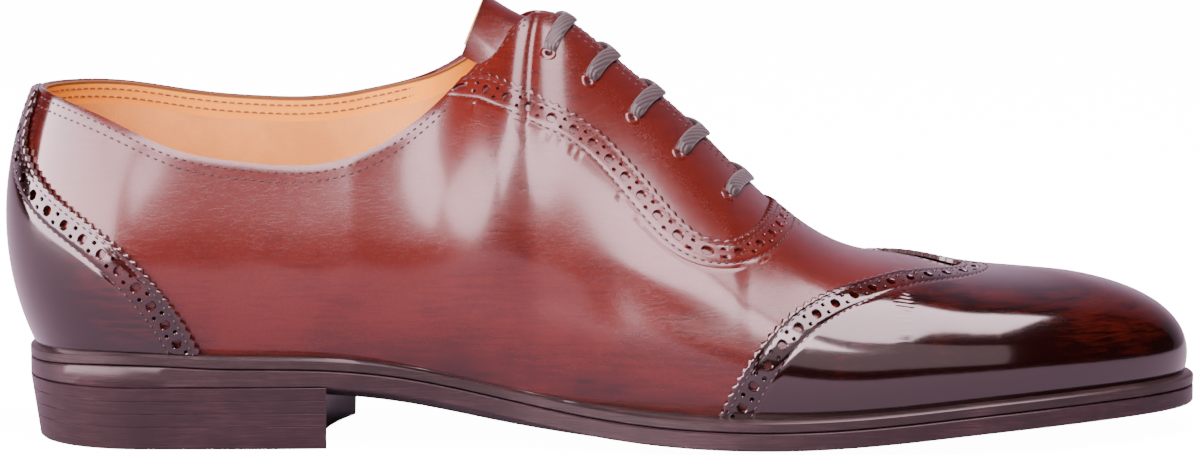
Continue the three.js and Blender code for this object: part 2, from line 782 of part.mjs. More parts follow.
// Outline of the heel at a height, drawn in from the sole's edge, its breast moved ahead
function heelOutline(height, inset, ahead) {
  const edge = (side) => steps(14).map((share) => {
    const along = shareAt(breastAt(side) + ahead, side) * share;
    const { x, y } = soleEdge(xAlong(along, side), side, inset);
    return new THREE.Vector3(x, y, height);
  });
  const outer = edge(-1);
  const inner = edge(1);
  const breast = rowAcross(outer.at(-1), inner.at(-1), BREAST_HOLLOW, CROWN_COLUMNS, () => height);
  return [...outer, ...breast.slice(1, -1), ...inner.slice(1).reverse()];
}

// One layer of the heel between two heights, drawn in towards the ground
function heelLayer(bottom, top) {
  const drawnIn = (height) => (HEEL_TAPER * (HEEL_SEAT - height)) / HEEL_SEAT;
  return block(heelOutline(bottom, drawnIn(bottom), 0), heelOutline(top, drawnIn(top), 0));
}

// A lace bar over the facings, from eyelet to eyelet
function laceBar(row) {
  const width = [LACE_WIDTH / 2, -LACE_WIDTH / 2];
  const low = CLEARANCE - FACING_STEP;
  const half = (side, offset) => {
    const { rise } = eyelet(row, side);
    return steps(4).map((share) => width.map((shift) => {
      const x = laceX(row) - LACE_LEAN * (1 - share) + shift;
      return onSide(x, side, THREE.MathUtils.lerp(rise, 1, share), offset);
    }));
  };
  const grid = (offset) => [...half(-1, offset), ...half(1, offset).reverse()];
  return between(grid(low + LACE_THICKNESS), grid(low));
}

const LEATHERS = {
  calf: { color: 0x5a1f16, roughness: 0.28, metalness: 0 },
  lining: { color: 0xd9a25f, roughness: 0.7, metalness: 0 },
  sole: { color: 0x4a3238, roughness: 0.45, metalness: 0 },
  welt: { color: 0x1d1214, roughness: 0.4, metalness: 0 },
  heel: { color: 0x453037, roughness: 0.45, metalness: 0 },
  lace: { color: 0x4d4844, roughness: 0.75, metalness: 0 },
};

const shoe = new THREE.Group();
shoe.position.x = -ORIGIN_AHEAD_OF_BACK;

function place(name, geometry, leather) {
  const mesh = new THREE.Mesh(geometry, new THREE.MeshStandardMaterial(LEATHERS[leather]));
  mesh.name = name;
  shoe.add(mesh);
}

place("upper", upper(), "calf");
place("toe_cap", toeCap(), "calf");
place("heel_counter", heelCounter(), "calf");
place("tongue", tongue(), "calf");
place("insole", insole(), "lining");
place("welt", welt(), "welt");
place("outsole", outsole(), "sole");
place("heel_top_piece", heelLayer(0, TOP_PIECE), "heel");
for (let i = 0; i < LIFT_COUNT; i++) {
  const bottom = TOP_PIECE + i * LIFT;
  place(`heel_lift_${i + 1}`, heelLayer(bottom, bottom + LIFT), "heel");
}
for (let row = 0; row < LACE_COUNT; row++) {
  place(`lace_bar_${row + 1}`, laceBar(row), "lace");
}

const root = new THREE.Group();
root.add(shoe);
export default root;
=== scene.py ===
import bpy
import mathutils
import numpy as np
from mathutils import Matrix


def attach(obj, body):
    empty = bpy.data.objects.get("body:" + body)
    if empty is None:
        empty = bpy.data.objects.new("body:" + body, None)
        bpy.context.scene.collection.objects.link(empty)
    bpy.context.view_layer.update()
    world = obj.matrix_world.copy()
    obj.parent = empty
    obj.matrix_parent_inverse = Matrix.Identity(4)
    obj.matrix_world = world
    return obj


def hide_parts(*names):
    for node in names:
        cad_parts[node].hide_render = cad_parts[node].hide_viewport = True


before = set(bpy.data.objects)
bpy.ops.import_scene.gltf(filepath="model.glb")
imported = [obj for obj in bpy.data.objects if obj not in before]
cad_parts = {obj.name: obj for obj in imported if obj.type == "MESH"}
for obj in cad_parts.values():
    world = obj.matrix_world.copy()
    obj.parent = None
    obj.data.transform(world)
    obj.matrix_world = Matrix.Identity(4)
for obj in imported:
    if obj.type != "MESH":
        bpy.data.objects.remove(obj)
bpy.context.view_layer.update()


# Insole
# A flat leather insole lies on the bottom of the last, with a natural sock glued on top of it.
# Every other piece is built on the same last, so the last's sizes and sections stand here, in mm.
LAST_LENGTH = 295.8
BALL_WIDTH = 86.0
INSTEP_HEIGHT = 92.0
BALL_HEIGHT = 11.6
HEEL_RISE = 13.2
TOE_SPRING = 4.4
HEEL_ROUND = 30.0
TOE_ROUND = 50.0
WALL = 2.3
INSOLE = 3.0
INSOLE_LIFT = 2.1
ORIGIN_AHEAD_OF_BACK = 37.0
FAR_FROM_EDGE = 60.0
MM = 0.001

# Feather edge, where the upper meets the welt: at is a share of LAST_LENGTH, centre and half are
# shares of BALL_WIDTH, heel is a share of HEEL_RISE and toe a share of TOE_SPRING
FEATHER = (("at", "centre", "half", "heel", "toe"), (
    (0.00, 0.000, 0.343, 1.000, 0.00),
    (0.07, 0.000, 0.346, 1.090, 0.00),
    (0.16, 0.000, 0.344, 1.015, 0.00),
    (0.24, -0.007, 0.333, 0.985, 0.00),
    (0.32, -0.023, 0.308, 0.803, 0.00),
    (0.40, -0.042, 0.298, 0.432, 0.00),
    (0.48, -0.053, 0.335, 0.121, 0.00),
    (0.57, -0.051, 0.423, -0.008, 0.00),
    (0.66, -0.023, 0.493, 0.000, 0.00),
    (0.74, 0.009, 0.493, 0.000, 0.25),
    (0.84, 0.037, 0.428, 0.000, 0.68),
    (0.93, 0.051, 0.358, 0.000, 0.93),
    (1.00, 0.058, 0.308, 0.000, 1.00),
))


def spline(places, values):
    """Natural cubic spline: second derivatives m solve the tridiagonal system of equal slopes at
    every inner place, and each span is the cubic through its two values and its two m."""
    places, values = np.asarray(places, float), np.asarray(values, float)
    span = np.diff(places)
    system = np.eye(len(places))
    turn = np.zeros(len(places))
    inner = np.arange(1, len(places) - 1)
    system[inner, inner - 1] = span[:-1]
    system[inner, inner] = 2 * (span[:-1] + span[1:])
    system[inner, inner + 1] = span[1:]
    turn[inner] = 6 * np.diff(np.diff(values) / span)
    bend = np.linalg.solve(system, turn)

    def value(place):
        place = np.clip(place, places[0], places[-1])
        i = np.clip(np.searchsorted(places, place) - 1, 0, len(span) - 1)
        left, right = (places[i + 1] - place) / span[i], (place - places[i]) / span[i]
        curve = (left**3 - left) * bend[i] + (right**3 - right) * bend[i + 1]
        return left * values[i] + right * values[i + 1] + curve * span[i] ** 2 / 6

    return value


def splines(table):
    """One spline for each named column of a table, over its first column."""
    names, rows = table
    columns = np.array(rows).T
    return {name: spline(columns[0], column) for name, column in zip(names[1:], columns[1:])}


feather = splines(FEATHER)


def rounded(distance, reach, power):
    """1 inside and 0 at the end, as part of a superellipse: (1 - (1 - d/reach)^p)^(1/p)."""
    missing = np.clip(1 - distance / reach, 0, 1)
    return (1 - missing**power) ** (1 / power)


def feather_height(x):
    """Height of the feather edge: ball height, plus the heel's and the toe's shares of their rise."""
    at = x / LAST_LENGTH
    return BALL_HEIGHT + HEEL_RISE * feather["heel"](at) + TOE_SPRING * feather["toe"](at)


def feather_y(x, side):
    """Y of the feather edge: centre, plus or minus the half width, rounded in at heel and toe."""
    at = x / LAST_LENGTH
    ends = rounded(x, HEEL_ROUND, 2.2) * rounded(LAST_LENGTH - x, TOE_ROUND, 2.1)
    return BALL_WIDTH * (feather["centre"](at) + side * feather["half"](at) * ends)


def feather_normal(x, side):
    """Outward normal of the feather outline in plan: its slope turned by a right angle."""
    step = 0.02
    low, high = np.clip(x - step, 0, LAST_LENGTH), np.clip(x + step, 0, LAST_LENGTH)
    run = feather_y(high, side) - feather_y(low, side)
    out = np.stack([-side * run, side * (high - low)], -1)
    out /= np.linalg.norm(out, axis=-1, keepdims=True)
    tip = (x < step / 2) | (x > LAST_LENGTH - step / 2)
    end = np.stack([np.where(x < step, -1.0, 1.0), np.zeros_like(x)], -1)
    return np.where(tip[..., None], end, out)


def outline_shares(side):
    """Shares of the feather outline's own length at a cosine spread of x from heel to toe."""
    x = LAST_LENGTH * (1 - np.cos(np.linspace(0, np.pi, 3001))) / 2
    length = np.r_[0, np.cumsum(np.hypot(np.diff(x), np.diff(feather_y(x, side))))]
    return length / length[-1], x


OUTLINES = {side: outline_shares(side) for side in (-1, 1)}


def x_along(along):
    """x and side at a place round the shoe: 0 heel, 1 toe by the outer side, 2 heel by the inner."""
    turn = np.mod(along, 2)
    outer = np.interp(turn, *OUTLINES[-1])
    inner = np.interp(2 - turn, *OUTLINES[1])
    return np.where(turn <= 1, outer, inner), np.where(turn <= 1, -1.0, 1.0)


def along_at(x, side):
    """The place round the shoe at which one side comes to x."""
    share = np.interp(x, *OUTLINES[side][::-1])
    return share if side < 0 else 2 - share


def plan_point(along, out):
    """A point in plan, at a distance out from the feather outline along its normal."""
    x, side = x_along(along)
    normal = feather_normal(x, side)
    y = feather_y(x, side)
    return np.stack([x + normal[..., 0] * out, y + normal[..., 1] * out], -1)


def run_along(points):
    """Length of a polyline from its first point to each of its points."""
    return np.r_[0, np.cumsum(np.linalg.norm(np.diff(points, axis=0), axis=-1))]


def grid_faces(rows, columns, closed=False):
    """Quads of a grid of rows by columns points, closed round along its columns or not."""
    i, j = np.meshgrid(np.arange(rows - 1), np.arange(columns - (0 if closed else 1)), indexing="ij")
    k = (j + 1) % columns
    corners = [i * columns + j, (i + 1) * columns + j, (i + 1) * columns + k, i * columns + k]
    return np.stack([corner.ravel() for corner in corners], -1)


def merged(points, faces, extra=None):
    """Joins points that lie at one place, and takes out the faces that this leaves empty. A quad
    with two corners joined becomes a triangle, with its last corner written twice."""
    _, first, new = np.unique(np.round(points, 4), axis=0, return_index=True, return_inverse=True)
    faces = new.reshape(-1)[faces]
    for _ in range(3):
        same = faces[:, 0] == faces[:, 1]
        faces[same] = np.c_[faces[same][:, 1:], faces[same][:, 3]]
        same = faces[:, 1] == faces[:, 2]
        faces[same] = faces[same][:, [0, 1, 3, 3]]
        same = faces[:, 0] == faces[:, 3]
        faces[same] = faces[same][:, [0, 1, 2, 2]]
    whole = (faces[:, 0] != faces[:, 1]) & (faces[:, 1] != faces[:, 2]) & (faces[:, 0] != faces[:, 2])
    return points[first], faces[whole], None if extra is None else extra[first]


def border(faces):
    """Directed edges that only one face uses, as rows of two point numbers."""
    ends = np.concatenate([faces[:, [i, (i + 1) % 4]] for i in range(4)])
    ends = ends[ends[:, 0] != ends[:, 1]]
    key = ends[:, 0] * (faces.max() + 1) + ends[:, 1]
    back = ends[:, 1] * (faces.max() + 1) + ends[:, 0]
    return ends[~np.isin(key, back)]


def in_metres(points):
    """Places of points in mm from the heel's back, in m from the frame's origin."""
    return (points - np.array([ORIGIN_AHEAD_OF_BACK, 0, 0])) * MM


def add_piece(name, points, faces, material, slot, uv=None, smooth=True, sharp_angle=40):
    """A mesh of points in mm, with its faces' two-fold last corners as triangles. It rides on the
    shoe's one body and takes the material given; its slot is not used."""
    corners = [face[:3] if face[2] == face[3] else face for face in faces.tolist()]
    mesh = bpy.data.meshes.new(name)
    mesh.from_pydata(in_metres(points).tolist(), [], corners)
    mesh.polygons.foreach_set("use_smooth", np.full(len(mesh.polygons), smooth))
    if smooth and sharp_angle:
        mesh.set_sharp_from_angle(angle=np.radians(sharp_angle))
    if uv is not None:
        vertex = np.zeros(len(mesh.loops), int)
        mesh.loops.foreach_get("vertex_index", vertex)
        mesh.uv_layers.new(name="leather").data.foreach_set("uv", (uv[vertex] * MM).ravel())
    mesh.materials.append(material)
    mesh.update()
    piece = bpy.data.objects.new(name, mesh)
    bpy.context.scene.collection.objects.link(piece)
    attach(piece, "root")
    return piece


def solid_between(outer, inner, faces):
    """A closed solid from two faces of like points: the outer as it is, the inner turned round,
    and a wall of quads down every border edge. Returns points and faces."""
    count = len(outer)
    edge = border(faces)
    wall = np.stack([edge[:, 0] + count, edge[:, 1] + count, edge[:, 1], edge[:, 0]], -1)
    turned = np.where((faces[:, 2] == faces[:, 3])[:, None], faces[:, [2, 1, 0, 0]], faces[:, ::-1])
    return np.concatenate([outer, inner]), np.concatenate([faces, turned + count, wall])


def set_inputs(tree, shader, inputs):
    """Links a shader's input to the socket given for it, or sets it to the value."""
    for key, value in inputs.items():
        if isinstance(value, bpy.types.NodeSocket):
            tree.links.new(value, shader.inputs[key])
        else:
            shader.inputs[key].default_value = value


def node(tree, kind, inputs=None, **settings):
    """Adds a shader node with its settings and inputs."""
    made = tree.nodes.new(kind)
    for name, value in settings.items():
        setattr(made, name, value)
    set_inputs(tree, made, inputs or {})
    return made


def math(tree, operation, first, second=0.0, third=0.0, clamp=False):
    """One number worked out from up to three others."""
    made = node(tree, "ShaderNodeMath", {0: first, 1: second, 2: third}, operation=operation)
    made.use_clamp = clamp
    return made.outputs[0]


def noise(tree, where, scale, detail=3.0, roughness=0.55, distortion=0.0):
    """Fractal noise over a place, from 0 to 1."""
    made = node(tree, "ShaderNodeTexNoise", {
        "Vector": where, "Scale": scale, "Detail": detail, "Roughness": roughness,
        "Distortion": distortion,
    })
    return made.outputs["Fac"]


def ramp(tree, value, low, high, from_value=0.0, to_value=1.0):
    """A value between low and high, turned into one between two others, smoothly and clamped."""
    made = node(tree, "ShaderNodeMapRange", {
        "Value": value, "From Min": low, "From Max": high, "To Min": from_value, "To Max": to_value,
    }, interpolation_type="SMOOTHSTEP")
    return made.outputs["Result"]


def blend(tree, share, first, second):
    """The colour between two others at a share."""
    made = node(tree, "ShaderNodeMix", {"Factor": share, "A": first, "B": second}, data_type="RGBA")
    return made.outputs["Result"]


def new_group(name, inputs, outputs):
    """An empty node group with named sockets, each with its kind and, for an input, its value."""
    group = bpy.data.node_groups.new(name, "ShaderNodeTree")
    for socket, (kind, value) in inputs.items():
        made = group.interface.new_socket(socket, in_out="INPUT", socket_type=kind)
        if value is not None:
            made.default_value = value
    for socket, kind in outputs.items():
        group.interface.new_socket(socket, in_out="OUTPUT", socket_type=kind)
    return group, group.nodes.new("NodeGroupInput").outputs, group.nodes.new("NodeGroupOutput").inputs


def leather_grain():
    """Pores and hair-fine creases of leather: small cells pressed in, and long creases from a
    stretched noise. Gives a height and a mask."""
    group, given, results = new_group(
        "leather grain",
        {"Pore size": ("NodeSocketFloat", 0.0007), "Creasing": ("NodeSocketFloat", 0.5)},
        {"Height": "NodeSocketFloat", "Pores": "NodeSocketFloat"},
    )
    where = node(group, "ShaderNodeTexCoord").outputs["Object"]
    scale = math(group, "DIVIDE", 1.0, given["Pore size"])
    cells = node(group, "ShaderNodeTexVoronoi", {"Vector": where, "Scale": scale}, feature="F1")
    pores = ramp(group, cells.outputs["Distance"], 0.1, 0.6)
    stretched = node(group, "ShaderNodeMapping", {
        "Vector": where, "Scale": (380.0, 380.0, 1500.0), "Rotation": (0.0, 0.5, 0.0),
    })
    fold = noise(group, stretched.outputs[0], 1.0, 4.0, 0.65, 0.6)
    creases = math(group, "MULTIPLY", ramp(group, fold, 0.52, 0.62), given["Creasing"])
    depth = math(group, "ADD", math(group, "MULTIPLY", pores, 0.35), math(group, "MULTIPLY", creases, -0.7))
    group.links.new(depth, results["Height"])
    group.links.new(pores, results["Pores"])
    return group


grain = leather_grain()


def place_group(tree, group, inputs):
    """Places a node group in a material with its own values."""
    return node(tree, "ShaderNodeGroup", inputs, node_tree=group).outputs


def new_material(name):
    """A material with a Principled shader."""
    material = bpy.data.materials.new(name)
    material.use_nodes = True
    return material, material.node_tree, material.node_tree.nodes["Principled BSDF"]


def lining_leather():
    """Natural tan calf: dull, finely grained, browner where it was handled and near the top edge."""
    material, tree, shader = new_material("natural lining")
    where = node(tree, "ShaderNodeTexCoord").outputs["Object"]
    tone = noise(tree, where, 45.0, 5.0)
    colour = blend(tree, ramp(tree, tone, 0.35, 0.7), (0.62, 0.29, 0.055, 1), (0.8, 0.4, 0.09, 1))
    fine = place_group(tree, grain, {"Pore size": 0.0006, "Creasing": 0.3})
    colour = blend(tree, math(tree, "MULTIPLY", fine["Pores"], 0.12), colour, (0.42, 0.2, 0.07, 1))
    panel = node(tree, "ShaderNodeTexCoord").outputs["UV"]
    below = node(tree, "ShaderNodeSeparateXYZ", {"Vector": panel}).outputs["Y"]
    strip = math(tree, "MULTIPLY", ramp(tree, below, 0.0066, 0.0062), ramp(tree, below, 0.0001, 0.0004))
    colour = blend(tree, strip, colour, (0.85, 0.36, 0.02, 1))
    colour = blend(tree, ramp(tree, below, 0.0009, 0.0005, 0.0, 0.85), colour, (0.05, 0.02, 0.012, 1))
    bump = node(tree, "ShaderNodeBump", {"Height": fine["Height"], "Strength": 0.35, "Distance": 0.0002})
    set_inputs(tree, shader, {
        "Base Color": colour, "Roughness": ramp(tree, tone, 0.3, 0.7, 0.5, 0.62), "Normal": bump.outputs[0],
    })
    return material


natural_lining = lining_leather()


def across(outer, inner, columns, height):
    """Rows from the outer to the inner edge at evenly spread y: height gets x and the share from
    the middle line, 0, to an edge, 1."""
    share = np.linspace(0, 1, columns)[None, :, None]
    plan = outer[:, None] * (1 - share) + inner[:, None] * share
    middle = np.abs(2 * share[..., 0] - 1) + 0 * plan[..., 0]
    return np.concatenate([plan, height(plan[..., 0], middle)[..., None]], -1)


insole_share = np.linspace(0, 1, 70)
insole_edges = [plan_point(place, -WALL - 0.6) for place in (insole_share, 2 - insole_share)]
insole_top = across(
    *insole_edges, 15, lambda x, middle: feather_height(x) + INSOLE_LIFT + INSOLE - 0.5 * middle**6
)
insole_low = across(*insole_edges, 15, lambda x, middle: feather_height(x) + INSOLE_LIFT + 0 * middle)
insole_faces = grid_faces(*insole_top.shape[:2])[:, ::-1]
insole_top, insole_faces, insole_low = merged(
    insole_top.reshape(-1, 3), insole_faces, insole_low.reshape(-1, 3)
)
insole = add_piece(
    "insole_with_sock", *solid_between(insole_top, insole_low, insole_faces), natural_lining,
    "lining_leather", np.full((2 * len(insole_top), 2), FAR_FROM_EDGE),
)
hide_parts("insole")


# Upper: lining
# A natural tan calf lining is glued inside the upper, from the top line to the feather edge, with
# its top edge under the outer leather's edge and sewn to it by two rows of stitches.
RIM_WIDTH = 57.0
FACING_TOP = 0.438 * LAST_LENGTH
THROAT = 0.622 * LAST_LENGTH
FACING_GAP = 2.0
TOE_POLE = 38.0
RIM_BACK_ROUND = 42.0
RIM_FRONT_ROUND = 48.0
SUBSTANCE = 1.1
FACING_STEP = 1.1

# Top line and crest: centre is a share of BALL_WIDTH, and the two heights over the feather edge
# are shares of INSTEP_HEIGHT
CREST = (("at", "centre", "outer", "inner"), (
    (0.000, 0.000, 0.717, 0.717),
    (0.060, 0.000, 0.645, 0.692),
    (0.120, 0.000, 0.566, 0.664),
    (0.180, 0.000, 0.535, 0.652),
    (0.240, 0.002, 0.529, 0.653),
    (0.300, 0.007, 0.599, 0.703),
    (0.360, 0.009, 0.777, 0.819),
    (0.400, 0.009, 0.944, 0.955),
    (0.430, 0.009, 1.030, 1.035),
    (0.460, 0.009, 1.033, 1.033),
    (0.490, 0.009, 0.975, 0.975),
    (0.520, 0.009, 0.900, 0.900),
    (0.560, 0.012, 0.799, 0.799),
    (0.600, 0.019, 0.674, 0.674),
    (0.640, 0.030, 0.543, 0.543),
    (0.680, 0.044, 0.438, 0.438),
    (0.715, 0.053, 0.381, 0.381),
    (0.760, 0.062, 0.346, 0.346),
    (0.800, 0.065, 0.308, 0.308),
    (0.850, 0.063, 0.281, 0.281),
    (0.900, 0.058, 0.267, 0.267),
))

# Side walls: swell is a share of BALL_WIDTH, foot and head are the lengths of the curve's two
# handles as shares of its span, and lean is its slope at the top in degrees
OUTER_SIDE = (("at", "swell", "foot", "head", "lean"), (
    (0.00, 0.120, 0.32, 0.34, 66),
    (0.06, 0.115, 0.32, 0.34, 72),
    (0.14, 0.081, 0.32, 0.34, 80),
    (0.24, 0.081, 0.32, 0.34, 80),
    (0.32, 0.105, 0.34, 0.34, 72),
    (0.38, 0.128, 0.34, 0.34, 52),
    (0.42, 0.140, 0.34, 0.32, 32),
    (0.47, 0.140, 0.34, 0.30, 17),
    (0.55, 0.116, 0.36, 0.34, 12),
    (0.63, 0.093, 0.38, 0.38, 5),
    (0.72, 0.070, 0.40, 0.44, 0),
    (0.86, 0.070, 0.42, 0.42, 0),
    (1.00, 0.062, 0.40, 0.30, 0),
))
INNER_SIDE = (("at", "swell", "foot", "head", "lean"), (
    (0.00, 0.120, 0.32, 0.34, 66),
    (0.06, 0.115, 0.32, 0.34, 72),
    (0.14, 0.081, 0.30, 0.34, 80),
    (0.24, 0.081, 0.32, 0.34, 80),
    (0.32, 0.081, 0.36, 0.34, 72),
    (0.38, 0.081, 0.42, 0.34, 48),
    (0.42, 0.081, 0.45, 0.30, 22),
    (0.47, 0.081, 0.48, 0.28, 0),
    (0.55, 0.081, 0.48, 0.30, -7),
    (0.63, 0.081, 0.48, 0.34, -4),
    (0.72, 0.070, 0.46, 0.42, 0),
    (0.86, 0.070, 0.46, 0.42, 0),
    (1.00, 0.062, 0.40, 0.30, 0),
))
crest = splines(CREST)
SIDE_WALLS = {-1: splines(OUTER_SIDE), 1: splines(INNER_SIDE)}


def smooth_step(low, high, value):
    """0 below low and 1 above high, with 3t^2 - 2t^3 between."""
    share = np.clip((value - low) / (high - low), 0, 1)
    return share * share * (3 - 2 * share)


def open_half(x):
    """Half the width of the collar's mouth, of the facings' gap, or 0 beyond the throat."""
    collar = RIM_WIDTH / 2 * rounded(x, RIM_BACK_ROUND, 2) * rounded(FACING_TOP - x, RIM_FRONT_ROUND, 1.3)
    facing = FACING_GAP / 2 * np.clip((THROAT - x) / 3, 0, 1)
    return np.where(x < FACING_TOP / 2, collar, np.maximum(collar, facing))


def soft_half(x):
    """The same half width with its corner at the facings' top rounded off: within 14 mm of it, a
    weighted mean of the places up to 5 mm before and behind."""
    places = np.linspace(-5, 5, 7)
    weights = np.exp(-((places / 3) ** 2))
    mean = (open_half(x[..., None] + places) * weights).sum(-1) / weights.sum()
    share = 1 - smooth_step(7, 14, np.abs(x - FACING_TOP))
    return open_half(x) + (mean - open_half(x)) * share


def crest_x(x):
    """x of the rib's top: over the toe the ribs run together to a pole."""
    start = LAST_LENGTH - 2 * TOE_POLE
    share = np.clip((x - start) / (2 * TOE_POLE), 0, None)
    return np.where(x < start, x, start + TOE_POLE * share * (2 - share))


def crest_height(x, side):
    """Height of the top line over the ground on one side."""
    at = x / LAST_LENGTH
    share = crest["outer"](at) if side < 0 else crest["inner"](at)
    return feather_height(x) + INSTEP_HEIGHT * share


def rib(x, side, rise):
    """A rib of the upper: the cubic curve (1-r)^3 F + 3(1-r)^2 r L + 3(1-r) r^2 H + r^3 T from the
    feather edge F by a low and a high handle to the top T. Returns points for arrays x and rise."""
    at, wall = x / LAST_LENGTH, SIDE_WALLS[side]
    out = feather_normal(x, side)
    foot = np.stack([x, feather_y(x, side), feather_height(x)], -1)
    top_x = crest_x(x)
    half = soft_half(top_x)
    half = half + (open_half(top_x) - half) * smooth_step(0.35, 1, rise)
    top_y = BALL_WIDTH * crest["centre"](top_x / LAST_LENGTH) + side * half
    top = np.stack([top_x, top_y, crest_height(top_x, side)], -1)
    span = np.linalg.norm(top - foot, axis=-1)
    swell = BALL_WIDTH * wall["swell"](at)
    lean = np.radians(wall["lean"](at))
    head = span * wall["head"](at)
    slope = (crest_height(top_x + 0.1, side) - crest_height(top_x - 0.1, side)) / 0.2
    fall = np.where(top_x < x, slope, 0)
    outward = head * np.cos(lean)
    low = foot + np.stack([out[..., 0] * swell, out[..., 1] * swell, span * wall["foot"](at)], -1)
    high = top + np.stack([
        out[..., 0] * outward,
        out[..., 1] * outward,
        fall * out[..., 0] * outward - head * np.sin(lean),
    ], -1)
    r = rise[..., None]
    return (1 - r)**3 * foot + 3 * (1 - r)**2 * r * low + 3 * (1 - r) * r**2 * high + r**3 * top


def round_shoe(along, rise):
    """The outer face of vamp and quarters: a rib of the outer side up to the toe, then of the inner."""
    x, side = x_along(along)
    return np.where((side < 0)[..., None], rib(x, -1, rise), rib(x, 1, rise))


def other_side(along):
    """The place on the other side of the shoe with the same x."""
    x, side = x_along(along)
    return np.where(side < 0, along_at(x, 1), along_at(x, -1))


def skin(along, rise, offset=0.0):
    """The same face moved out along its normal, the cross product of its two slopes. On the closed
    crest both sides take the mean of their two points."""
    along, rise, offset = np.broadcast_arrays(np.asarray(along, float), rise, offset)
    step = 0.002
    inside = np.clip(rise, 2 * step, 1 - 2 * step)

    def moved(place):
        around = round_shoe(place + step, inside) - round_shoe(place - step, inside)
        up = round_shoe(place, inside + step) - round_shoe(place, inside - step)
        normal = np.cross(around, up)
        normal /= np.linalg.norm(normal, axis=-1, keepdims=True)
        return round_shoe(place, rise) + normal * offset[..., None]

    points = moved(along)
    shut = (rise > 1 - 1e-6) & (open_half(crest_x(x_along(along)[0])) < 1e-6)
    if shut.any():
        points = np.where(shut[..., None], (points + moved(other_side(along))) / 2, points)
    return points


def rise_below_top(along, distance):
    """The rise on each rib at which its length down from the top is the given distance: the length
    of a 12-step polyline is scaled to the distance four times over."""
    along, distance = np.broadcast_arrays(np.asarray(along, float), distance)
    left = np.full(along.shape, 0.2)
    for _ in range(5):
        shares = np.linspace(0, 1, 13)
        points = round_shoe(along[..., None] + 0 * shares, 1 - left[..., None] * shares)
        length = np.linalg.norm(np.diff(points, axis=-2), axis=-1).sum(-1)
        left = np.clip(left * distance / np.maximum(length, 1e-6), 0, 0.98)
    return 1 - left


FACING_START = 0.385
FACING_END = 0.628


def folded(along):
    """The place round the shoe as seen on the outer side, so that both sides read one table."""
    turn = np.mod(along, 2)
    return np.where(turn <= 1, turn, 2 - turn)


def facing_share(along, rise):
    """1 where the facings lie, 0 away from them, with a soft border."""
    turn = folded(along)
    ends = smooth_step(FACING_START - 0.05, FACING_START - 0.02, turn)
    ends *= 1 - smooth_step(FACING_END + 0.03, FACING_END + 0.06, turn)
    return ends * smooth_step(0.35, 0.48, rise)


def facing_out(along, rise, faces):
    """Turns the faces of a flat pattern so that they run round counter-clockwise in along and rise,
    which is outwards on the shoe: the sign of the shoelace sum decides."""
    x, y = along[faces], rise[faces]
    area = (x * np.roll(y, -1, 1) - np.roll(x, -1, 1) * y).sum(1)
    return np.where((area < 0)[:, None], faces[:, ::-1], faces)


def both_sides(along, rise, faces, *more):
    """A pattern drawn on the outer side, with its mirror image on the inner side."""
    faces = facing_out(along, rise, faces)
    count = len(along)
    doubled = [np.concatenate([values, values]) for values in (rise, *more)]
    return np.concatenate([along, other_side(along)]), doubled[0], np.concatenate(
        [faces, faces[:, ::-1] + count]
    ), doubled[1:]


def leather_panel(name, along, rise, faces, uv, offset, thickness, material, slot, roll=0.22):
    """A panel of leather on the shoe: its pattern is laid on the skin at an offset, a like face lies
    one thickness below, and its cut edges are walls, rounded over by the roll at their top."""
    top, faces_top, packed = merged(
        skin(along, rise, offset), faces,
        np.c_[along, rise, np.broadcast_to(offset, along.shape), uv],
    )
    along, rise, offset, uv = packed[:, 0], packed[:, 1], packed[:, 2], packed[:, 3:]
    lowered = np.zeros(len(top))
    lowered[np.unique(border(faces_top))] = roll
    outer = skin(along, rise, offset - lowered)
    inner = skin(along, rise, offset - thickness)
    points, faces_all = solid_between(outer, inner, faces_top)
    return add_piece(name, points, faces_all, material, slot, np.concatenate([uv, uv]))


def grid_pattern(along, rise):
    """Flattens grids of along and rise into a pattern with its faces."""
    return along.ravel(), rise.ravel(), grid_faces(*along.shape)


lining_share = np.linspace(0, 1, 150)
lining_rise = np.linspace(0, 1, 40)
lining_along, lining_rises = np.meshgrid(lining_share, lining_rise, indexing="ij")
pattern = grid_pattern(lining_along, lining_rises)
lining_along, lining_rises, lining_faces, _ = both_sides(*pattern)
lining_offset = -SUBSTANCE - 0.12 - (FACING_STEP + 0.05) * facing_share(lining_along, lining_rises)

lining_outer = skin(lining_along, lining_rises, lining_offset)
lining_inner = skin(lining_along, lining_rises, lining_offset - 0.9)
ribs = lining_inner.reshape(2, len(lining_share), len(lining_rise), 3)[:, :, ::-1]
below_top = np.zeros(ribs.shape[:3])
below_top[..., 1:] = np.cumsum(np.linalg.norm(np.diff(ribs, axis=2), axis=-1), 2)
lining_uv = np.c_[lining_along * 300, below_top[:, :, ::-1].ravel()]
lining_outer, lining_faces, kept = merged(lining_outer, lining_faces, np.c_[lining_inner, lining_uv])
add_piece(
    "lining", *solid_between(lining_outer, kept[:, :3], lining_faces), natural_lining, "lining_leather",
    np.concatenate([kept[:, 3:], kept[:, 3:]]),
)


# Upper: quarters and vamp
# The outer calf, about 1.1 mm, in one face from the heel to under the toe cap. Where it lies over
# the facings its edge is gimped to teeth, punched with a row of holes and sewn by two rows.
BAND = 9.2
FIRST_ROW = 2.0
SECOND_ROW = 7.6
HOLES_FROM = 2.0
HOLES_TO = 7.0
HALF_PITCH = 3.15
HALF_STEPS = 5
TOOTH = 0.8
BIG_HOLE = 1.2
SMALL_HOLE = 0.4

